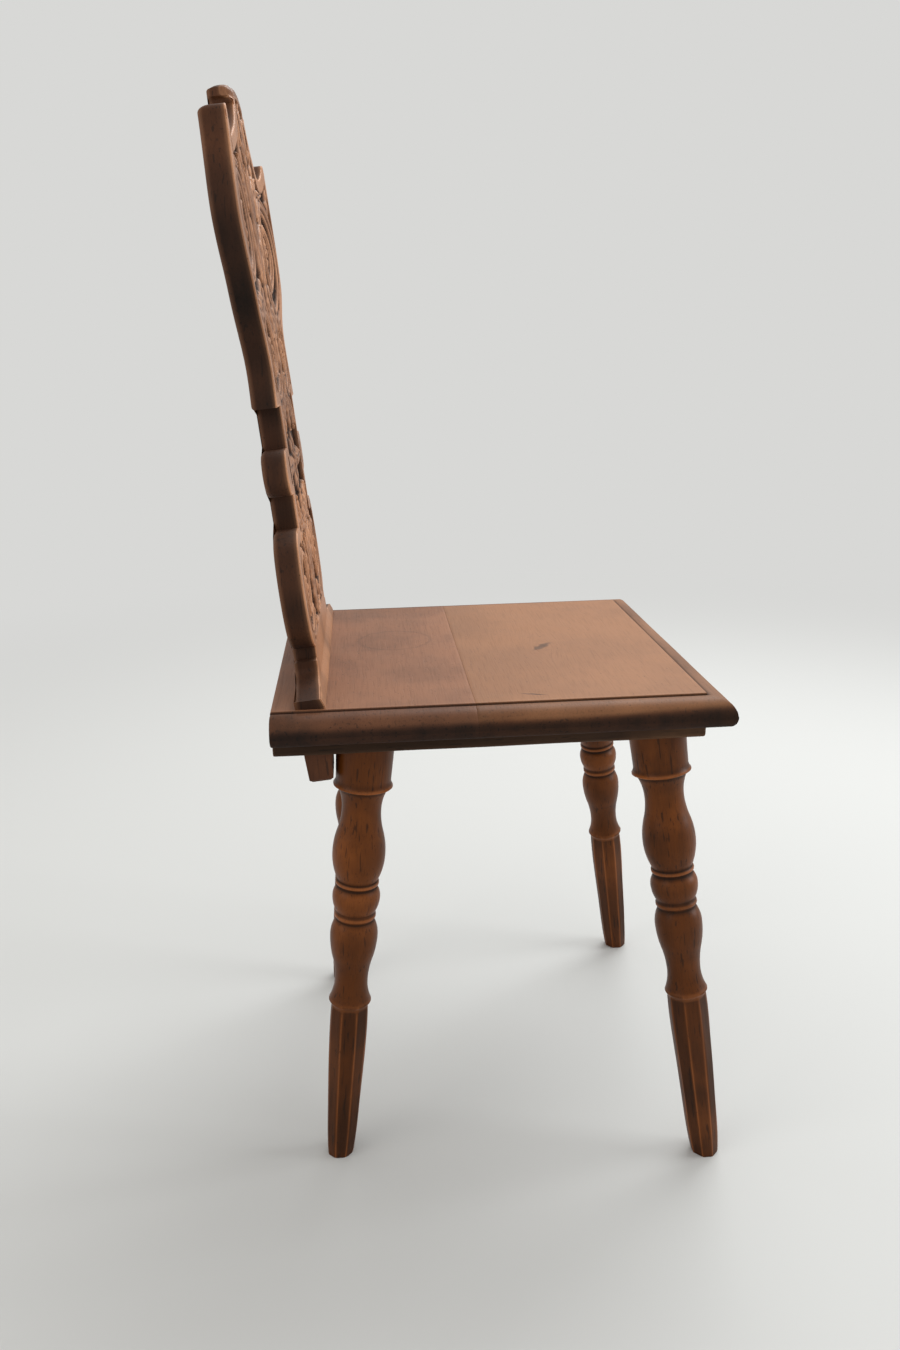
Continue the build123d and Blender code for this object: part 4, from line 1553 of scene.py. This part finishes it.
def leg_radius(heights, turn, length, seed):
    """The turned profile's radius, or the eight-sided shaft's where that is larger.

    The shaft starts at the lower lip. An octagon's radius is its half width over the
    cosine of the angle from the middle of a side. Its half width tapers to the foot with
    a slight swell, and its corners are rubbed down. Slow sines make all of it a little
    uneven, as handwork is.
    """
    facet, from_middle = facet_places(turn)
    down_shaft = (lower_lip_height - heights) / (length + lower_lip_height)
    half_width = shaft_half_widths[0] + (shaft_half_widths[1] - shaft_half_widths[0]) * down_shaft
    half_width = half_width + shaft_swell * (1 - np.abs(2 * down_shaft - 1) ** 5)
    planed = half_width + 0.22 * np.sin(heights / 23 + 3 * facet + seed)
    to_corner = 1 - np.abs(from_middle) / corner_turn
    octagon = planed / np.cos(from_middle) - 0.55 * bell(to_corner, 0.16)
    turned = turned_radius(heights, 0.1)
    sway = 0.004 * np.sin(heights / 31 + 2 * turn + seed) + 0.003 * np.sin(heights / 9 + seed)
    on_shaft = heights <= lower_lip_height
    return np.where(on_shaft, np.maximum(turned, octagon), turned * (1 + sway))


print("length of a front leg:", round(float(leg_axis(1, "front")[1]), 1), "mm")

# %% Wear, dirt and painted light on a leg
mean_step = 0.5
mean_reach = 8
shaft_core = 15.0


def leg_wear_dirt_and_painted_light(heights, turn, length, seed):
    """Wear and a painted highlight on whatever stands proud on the turning, and dirt in its grooves.

    Proud is the radius less the mean radius of its neighbours along the leg. The shaft
    has a tone of its own on each facet, worn corners and a painted shadow under the lip.
    """
    even = np.arange(0.0, length, mean_step)
    padded = np.pad(turned_radius(-even, shaft_core), mean_reach, "edge")
    window = np.ones(2 * mean_reach + 1) / (2 * mean_reach + 1)
    mean_radius = np.convolve(padded, window, "valid")
    turned = turned_radius(heights, 0.1)
    on_shaft = heights <= lower_lip_height
    proud = turned - np.interp(-heights, even, mean_radius)
    proud = np.where(on_shaft & (turned < shaft_core + 0.4), 0, proud) + 0 * turn

    facet, from_middle = facet_places(turn)
    corner_wear = bell(1 - np.abs(from_middle) / corner_turn, 0.13) * on_shaft
    # What stands proud is painted lighter, as wear and as a painted highlight.
    wear = 0.62 * np.clip(proud / 1.1, 0, 1)
    wear = np.maximum(wear, 0.45 * corner_wear * (heights < lower_lip_height - 6))
    facet_tone = 0.16 * np.sin(2.4 * facet + seed)
    shaft_tone = 0.46 + facet_tone + 0.12 * np.sin(heights / 19 + seed)
    dirt = np.where(on_shaft, shaft_tone * (1 - corner_wear), np.clip(-proud / 1.1, 0, 1))
    # A painted shadow under the lower lip.
    lip_shadow = bell(heights - lower_lip_height + 5, 4.5) * on_shaft
    return wear, np.maximum(dirt, 0.5 * lip_shadow)


print("wear is the mean over", (2 * mean_reach + 1) * mean_step, "mm of the leg")

# %% A leg as a surface over height and angle
level_reach = 30
grain_apart = 230


def leg_surface(side, end, seed):
    """The points, faces, wear, dirt and grain of one leg, with its tenon.

    A ring near an end slides along the leg, so that the first one lies in the batten's
    underside and the last one in the floor.
    """
    top, length, up, right, back = leg_axis(side, end)
    heights = leg_heights(length)[:, None]
    turn = np.linspace(0, full_turn, leg_columns, endpoint=False)[None, :]
    radius = leg_radius(heights, turn, length, seed)
    spoke = np.cos(turn)[..., None] * right + np.sin(turn)[..., None] * back
    near_top = np.clip(1 + heights / level_reach, 0, 1)
    near_foot = np.clip(1 - (heights + length) / level_reach, 0, 1)
    along = heights - radius * spoke[..., 2] / up[2] * (near_top + near_foot)
    points = top + along[..., None] * up + radius[..., None] * spoke
    grain = np.stack([radius * np.cos(turn), radius * np.sin(turn), along], axis=-1)

    tenon = []
    for level in (tenon_top, batten_underside):
        rise = (level - batten_underside - tenon_radius * spoke[0, :, 2]) / up[2]
        tenon.append(top + rise[:, None] * up + tenon_radius * spoke[0])
    points = np.concatenate([tenon, points])
    grain = np.concatenate([grain[:1], grain[:1], grain]) + grain_apart * seed
    wear, dirt = leg_wear_dirt_and_painted_light(heights, turn, length, seed)
    clean = np.zeros((2, leg_columns))
    return (
        points.reshape(-1, 3),
        tube_faces(np.arange(len(points) * leg_columns).reshape(len(points), leg_columns)),
        np.concatenate([clean, wear]).ravel(),
        np.concatenate([clean, dirt]).ravel(),
        grain.reshape(-1, 3),
    )


print("rings on a front leg:", len(leg_heights(leg_axis(1, "front")[1])))

# %% Four legs, each with its kerf
leg_tones = [
    colour(142, 78, 30),
    colour(94, 48, 11),
    colour(46, 22, 5),
    colour(178, 106, 58),
    colour(14, 8, 3),
]
leg_wood = waxed_wood("leg_wood", leg_tones, shine=0.26, gloss=0.16)
leg_crease = 32
legs = [(end, side) for end in leg_ends for side in (-1, 1)]
for seed, (end, side) in enumerate(legs, 1):
    name = f"leg_{end}_{'left' if side > 0 else 'right'}"
    leg = new_piece("turned_" + name, leg_surface(side, end, seed), leg_wood, [name])
    cut_away(leg, merged_copy("leg_wedges"))
    smooth_to(leg, leg_crease)

# %% [markdown]
# ## The seat boards
#
# Each seat board is two sheets over one grid, like the top and the sole of a shoe. Both
# are functions of the distance from the edge: the top sheet rolls down over the moulding
# to the nose, and the bottom sheet curls back under it. Where a side and the front meet,
# the smaller of the two distances counts, and that alone makes the mitre. The glued edge
# and the rear edge are plain, and a strip closes them.

# %% The moulding as two functions of the distance from the edge
seat_half_width = seat_high.x / mm
moulding_reach = 21.0
moulding_rise = 15.0
ovolo_steps = 20
quirk_depth = 2.0
quirk_width = 0.9
quirk_shares = np.array([0.25, 0.5, 0.8, 1.2, 2.0])
nose_height = seat_top - quirk_depth - moulding_rise
ovolo_radius = (moulding_reach**2 + moulding_rise**2) / (2 * moulding_reach)
underside = seat_top - 25.0
under_radius = 10.0
seat_step = 2.6


def top_sheet(gap):
    """The ovolo's arc up to the quirk, then a short steep rise to the flat top."""
    left = np.clip(ovolo_radius - gap, -ovolo_radius, ovolo_radius)
    ovolo = nose_height + np.sqrt(ovolo_radius**2 - left**2)
    rise = np.clip((gap - moulding_reach) / quirk_width, 0, 1)
    top = seat_top - quirk_depth * (1 - rise) ** 2
    return np.where(gap < moulding_reach, ovolo, top)


def bottom_sheet(gap):
    """The arc that curls from the nose in to the flat underside."""
    left = np.clip(under_radius - gap, 0, under_radius)
    return np.maximum(nose_height - np.sqrt(under_radius**2 - left**2), underside)


def edge_gaps(inner_width):
    """Places across a board, as distances from one moulded edge, up to its middle."""
    turn = np.linspace(0, np.arccos(1 - moulding_reach / ovolo_radius), ovolo_steps)
    moulded = ovolo_radius * (1 - np.cos(turn))
    quirk = moulding_reach + quirk_width * quirk_shares
    start = quirk[-1]
    count = max(2, round((inner_width - start) / seat_step))
    return np.concatenate([moulded, quirk, np.linspace(start, inner_width, count + 1)[1:]])


print("ovolo radius:", round(ovolo_radius, 2), "mm")

# %% The lines of a board's grid, and its faces
front_low, front_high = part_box("seat_front_board")
seat_front, seat_joint = front_low.y / mm, front_high.y / mm
joint_arris = 0.35
rear_arris = 1.6
rounded_lines = np.array([0.0, 0.3, 1.0])
no_moulding = 1e3


def lines_across():
    """The grid's places from side to side, and how far each lies from its own side."""
    half = edge_gaps(seat_half_width)
    places = np.concatenate([half - seat_half_width, seat_half_width - half[-2::-1]])
    return places, np.concatenate([half, half[-2::-1]])


def lines_along(front, rear, moulded, rear_rounding):
    """The grid's places from front to rear, and how far each lies from a moulded front."""
    depth = rear - front
    rear_gap = rounded_lines * rear_rounding
    if moulded:
        rising = edge_gaps(depth - rear_gap[-1])
        places = np.concatenate([front + rising, rear - rear_gap[-2::-1]])
        return places, places - front
    first = rounded_lines * joint_arris
    middle = np.linspace(first[-1], depth - rear_gap[-1], round(depth / seat_step))
    places = front + np.concatenate([first[:-1], middle, depth - rear_gap[-2::-1]])
    return places, np.full(len(places), no_moulding)


def edge_strip(top, bottom):
    """Cells between the ends of two sheets that share their first and their last point."""
    cells = np.stack([top[1:-2], top[2:-1], bottom[2:-1], bottom[1:-2]], axis=1)
    ends = np.array([[top[0], top[1], bottom[1]], [top[-2], top[-1], bottom[-2]]])
    return cells, ends


def sheet_faces(rows, columns, moulded):
    """The faces of a top and a bottom sheet that share the points of each moulded edge."""
    upper = np.arange(rows * columns).reshape(rows, columns)
    lower = upper + rows * columns
    lower[:, 0], lower[:, -1] = upper[:, 0], upper[:, -1]
    if moulded:
        lower[0] = upper[0]
    sole = np.stack([lower[:-1, :-1], lower[1:, :-1], lower[1:, 1:], lower[:-1, 1:]], axis=-1)
    strips = edge_strip(upper[-1], lower[-1])
    if not moulded:
        strips += tuple(group[:, ::-1] for group in edge_strip(upper[0], lower[0]))
    return [grid_faces(rows, columns), sole.reshape(-1, 4), *strips]


print("the seat's joint lies at", round(seat_joint, 1), "mm on y")

# %% Wear, dirt and grain on a board of the seat
knot_place = (-9.0, -69.0)
board_apart = 310


def seat_tones(x, y, gap, seed):
    """Bare wood inside the moulding, darker towards the rear by painted shade. Dirt and a
    painted shadow in the quirk, and painted shade on the nose.

    The ovolo's upper part is rubbed by hands and legs, most of all at the front, where
    the painted shade on the nose is also the widest.
    """
    quirk = bell(gap - moulding_reach + 0.4, 1.1)
    arris = bell(gap - moulding_reach - 1.6, 1.2)
    bare = np.clip((gap - moulding_reach) / 1.2, 0, 1)
    # Less bare wood towards the rear: painted shade that deepens towards the back of the seat.
    bare_share_with_rear_shade = 0.92 - 0.30 * smooth_step((y + 70) / 230)
    handled = 0.62 - 0.45 * smooth_step((y + 90) / 190)
    handled = handled * (0.8 + 0.2 * np.sin(y / 16 + x / 29) * np.sin(y / 37 + seed))
    # The nose and the ovolo's lower part get painted shade, widest at the front.
    nose_shade_reach = 1.0 + 1.3 * bell(y - seat_front, 75)
    ovolo_top = handled * smooth_step((gap - 0.45 * nose_shade_reach) / (2.2 * nose_shade_reach))
    wear = np.clip(bare_share_with_rear_shade * bare + 0.1 * arris, 0, 1) + ovolo_top * (1 - bare)
    # The quirk holds dirt and a painted shadow.
    dirt = 0.9 * quirk * (1 - bare) + 0.85 * bell(gap, nose_shade_reach)
    return wear * (1 - np.clip(dirt, 0, 1)), dirt


def seat_grain(x, y, z, seed):
    """Places in the grain, which runs along x and is pushed aside round the knot."""
    knot_x, knot_y = knot_place
    near_knot = np.exp(-(((x - knot_x) / 46) ** 2) - ((y - knot_y) / 24) ** 2)
    pushed = 11 * np.tanh((y - knot_y) / 9) * near_knot
    return np.stack([y - pushed, z - seat_top, x], axis=-1).reshape(-1, 3) + board_apart * seed


print("the knot lies at", knot_place, "mm")

# %% One board of the seat
# Painted shade on the whole bottom sheet, under the moulding and the seat.
underside_shade = 0.75
worn_down = 0.35


def seat_board(front, rear, moulded, seed):
    """The points, faces, wear, dirt with painted shade, and grain of a board between two places
    on y.

    Slow waves stand for the plane's work on the top, and for the wear that has taken
    the moulded edges down a little more here and a little less there.
    """
    rear_rounding = joint_arris if moulded else rear_arris
    x_line, x_gap = lines_across()
    y_line, y_gap = lines_along(front, rear, moulded, rear_rounding)
    x, y = np.meshgrid(x_line, y_line)
    gap = np.minimum(*np.meshgrid(x_gap, y_gap))
    drop = rounding_drop(rear_rounding, rear - y)
    if not moulded:
        drop = drop + rounding_drop(joint_arris, y - front)

    inside = np.clip((gap - moulding_reach - 3) / 20, 0, 1)
    dents = np.sin(x / 31 + seed) * np.sin(y / 23 + 2 * seed) + 0.5 * np.sin(x / 13 - y / 17)
    top = top_sheet(gap) - drop - inside * (0.16 + 0.12 * dents)
    bottom = np.minimum(bottom_sheet(gap) + drop, top)
    shrink = worn_down * np.clip(1 - gap / moulding_reach, 0, 1)
    wobble = shrink * (1 + 0.6 * np.sin(y / 19 + seed) + 0.4 * np.sin(x / 27 - y / 11))
    x = x * (1 - wobble / seat_half_width)
    y = y + np.where(y_gap[:, None] < x_gap, wobble, 0)

    sheets = [np.stack([x, y, z], axis=-1).reshape(-1, 3) for z in (top, bottom)]
    wear, dirt = seat_tones(x, y, gap, seed)
    return (
        np.vstack(sheets),
        sheet_faces(*x.shape, moulded),
        np.append(wear, np.zeros(x.size)),
        np.append(dirt, np.full(x.size, underside_shade)),
        np.vstack([seat_grain(x, y, top, seed)] * 2),
    )


print("lines from side to side:", len(lines_across()[0]))

# %% [markdown]
# ## The seat's finish
#
# The boards were stained and waxed, and years of sitting took most of the stain off the
# flat top. The two boards come from two planks, so their tones differ a little. A small
# knot, a crack at the quirk and a faint ring from a wet glass are drawn in the finish,
# because none of them has a depth that would show.

# %% Marks on the seat
ring_place = (37.0, 73.0)
ring_radius = 36
crack_place = (-160.0, -38.0)


def from_point(finish, x, y):
    """How far a place on the seat lies from a point, along x and along y, in millimetres.

    A little noise bends the distances, so that no mark comes out as a perfect oval.
    """
    place = finish.node("ShaderNodeTexCoord", output=3)
    axes = [finish.node("ShaderNodeSeparateXYZ", None, {0: place}, axis) for axis in (0, 1)]
    bend = finish.noise(place, 140.0, 2.0) * 5 - 2.5
    return [value / mm - middle + bend for value, middle in zip(axes, (x, y))]


def spot(finish, middle, lie, half_length, half_width):
    """The square of the distance from a mark's middle, which is 1 on the mark's oval rim.

    The oval lies along one direction, given by its cosine and its sine.
    """
    x, y = from_point(finish, *middle)
    along, across = x * lie[0] + y * lie[1], x * lie[1] - y * lie[0]
    return (along / half_length) ** 2 + (across / half_width) ** 2


def knot_and_crack(finish):
    """A dark pin knot, drawn out along the grain, and a short crack by the quirk."""
    knot = spot(finish, knot_place, (0.80, -0.60), 16, 4.4).fall(0.1, 1.6)
    crack = spot(finish, crack_place, (0.35, 0.94), 11, 1.1).fall(0.3, 1.4)
    return knot * 0.6 + crack * 0.85


def faint_ring(finish):
    """The pale-edged ring that a wet glass left."""
    x, y = from_point(finish, *ring_place)
    from_middle = (x**2 + y**2) ** 0.5
    return abs(from_middle - ring_radius).fall(0.6, 2.6) * 0.16


print("marks: a knot and a crack in front, a ring behind")

# %% The two boards, with their housings
front_tones = [
    colour(122, 76, 44),
    colour(84, 47, 24),
    colour(46, 25, 12),
    colour(172, 119, 80),
    colour(14, 8, 4),
]
rear_tones = [
    colour(118, 74, 48),
    colour(80, 46, 27),
    colour(44, 25, 14),
    colour(168, 114, 80),
    colour(14, 8, 5),
]
seat_woods = {
    "seat_front_board": waxed_wood(
        "front_board_wood", front_tones, shine=0.42, gloss=0.22, patchy=0.15, marks=knot_and_crack
    ),
    "seat_rear_board": waxed_wood(
        "rear_board_wood", rear_tones, shine=0.42, gloss=0.22, patchy=0.3, marks=faint_ring
    ),
}
# Front, rear, whether the front is moulded, and a number that shifts all the waves.
board_ends = {
    "seat_front_board": (seat_front, seat_joint, True, 1.0),
    "seat_rear_board": (seat_joint, seat_rear, False, 2.3),
}
seat_crease = 32
overrun = 3
for name, ends in board_ends.items():
    board = new_piece("planed_" + name, seat_board(*ends), seat_woods[name], [name])
    for batten in ("batten_left", "batten_right"):
        cut_away(board, merged_copy(batten, overrun=overrun))
    if name == "seat_rear_board":
        cut_away(board, merged_copy("back_board", below=seat_top + 0.5))
    smooth_to(board, seat_crease)

# %% [markdown]
# ## The pieces under the seat
#
# Two battens slide into dovetail housings across the seat boards and keep them flat. The
# legs are wedged in them, and two keys lock the back's tenons under the seat. Nobody
# polishes these, so they are duller and darker. The battens show in full and get planed
# surfaces of their own. Wedges, keys and tenons hardly show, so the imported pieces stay
# and only take a finish.

# %% Finishes for what lies in the shade
batten_tones = [
    colour(98, 66, 42),
    colour(68, 45, 28),
    colour(40, 26, 16),
    colour(118, 82, 54),
    colour(20, 14, 9),
]


def some_wear(finish):
    """Light rubbing in patches, for a piece that carries no wear of its own."""
    place = finish.node("ShaderNodeTexCoord", output=3)
    return finish.noise(place, 40.0, 3.0).rise(0.55, 0.8) * 0.5


def some_dirt(finish):
    """Dirt in patches, for a piece that carries no dirt values of its own."""
    place = finish.node("ShaderNodeTexCoord", output=3)
    return finish.noise(place, 22.0, 4.0).rise(0.5, 0.75) * 0.5


lying = (right_angle, 0, 0)
upright = (0, 0, 0)
batten_wood = waxed_wood("batten_wood", batten_tones, lying, some_wear, some_dirt, shine=0.6)
wedge_wood = waxed_wood("wedge_wood", batten_tones, upright, some_wear, some_dirt, shine=0.6)
tenon_wood = waxed_wood("tenon_wood", back_tones, upright, some_wear, some_dirt, shine=0.5)
bar_wood = waxed_wood("bar_wood", batten_tones, shine=0.55, gloss=0.2)
finishes = [
    (nodes["leg_wedges"], wedge_wood),
    (nodes["back_keys"], batten_wood),
    (back_tenons, tenon_wood),
]
for piece, finish in finishes:
    piece.data.materials.clear()
    piece.data.materials.append(finish)
    print(piece.name, "is now of", finish.name)

# %% A batten as one section carried along the grain
batten_half_width = 28.0
batten_bottom = 409.6
batten_front = seat_front + 20.5
batten_rounding = 4.0
batten_stations = 90
tongue_half_widths = (21.0, 24.5)
tongue_top = 435.0
arris_reach = 3.0
arris_shares = np.array([0, 0.12, 0.5])
arris_insets = np.array([1.2, 0.4, 0.0])
batten_apart = 170


def batten_section():
    """Half a batten with its dovetail tongue, and its mirror image: x and height.

    Each point is one complex number, and the lower corners are quarter circles.
    """
    quarter = np.exp(1j * np.linspace(0, right_angle, 5))
    centre = complex(batten_half_width - batten_rounding, batten_bottom + batten_rounding)
    tongue = [
        complex(batten_half_width, underside),
        complex(tongue_half_widths[0], underside),
        complex(tongue_half_widths[1], tongue_top),
    ]
    right = np.concatenate([centre - 1j * batten_rounding * quarter, tongue])
    return np.concatenate([right, -right[::-1].conjugate()])


def batten_surface(side, seed):
    """The points, faces, wear, dirt and grain of one batten.

    Towards both ends the section shrinks a little for the arris, and slow sines along it
    stand for the plane's work.
    """
    end_gaps = arris_reach * arris_shares
    low, high = batten_front + arris_reach, seat_rear - arris_reach
    middle = np.linspace(low, high, batten_stations)
    y = np.concatenate([batten_front + end_gaps, middle, seat_rear - end_gaps[::-1]])[:, None]
    inset = np.concatenate([arris_insets, np.zeros(batten_stations), arris_insets[::-1]])[:, None]
    heart = complex(0, (batten_bottom + tongue_top) / 2)
    section = heart + (batten_section() - heart) * (1 - inset / batten_half_width)
    uneven = 0.25 * np.sin(y / 21 + seed + section.real / 9)
    x = side * batten_offset + section.real + uneven * np.sign(section.real)
    z = section.imag + np.where(section.imag < underside - 1, uneven, 0)
    y = np.broadcast_to(y, x.shape)

    low_part = np.clip((batten_bottom + 3 - z) / 3, 0, 1)
    # Lighter towards the front end and darker towards the rear.
    towards_front = smooth_step((-110 - y) / 60)
    wear = np.clip(0.4 * low_part + 0.5 * (inset > 0.2) + 0.4 * towards_front, 0, 1)
    dirt = (1 - wear) * (0.08 + 0.42 * smooth_step((y + 120) / 200))
    return (
        np.stack([x, y, z], axis=-1).reshape(-1, 3),
        tube_faces(np.arange(x.size).reshape(x.shape)),
        wear.ravel(),
        dirt.ravel(),
        np.stack([x, z, y], axis=-1).reshape(-1, 3) + batten_apart * seed,
    )


batten_crease = 40
for seed, (name, side) in enumerate((("batten_right", -1), ("batten_left", 1)), 1):
    bar = new_piece("planed_" + name, batten_surface(side, seed), bar_wood, [name])
    smooth_to(bar, batten_crease)
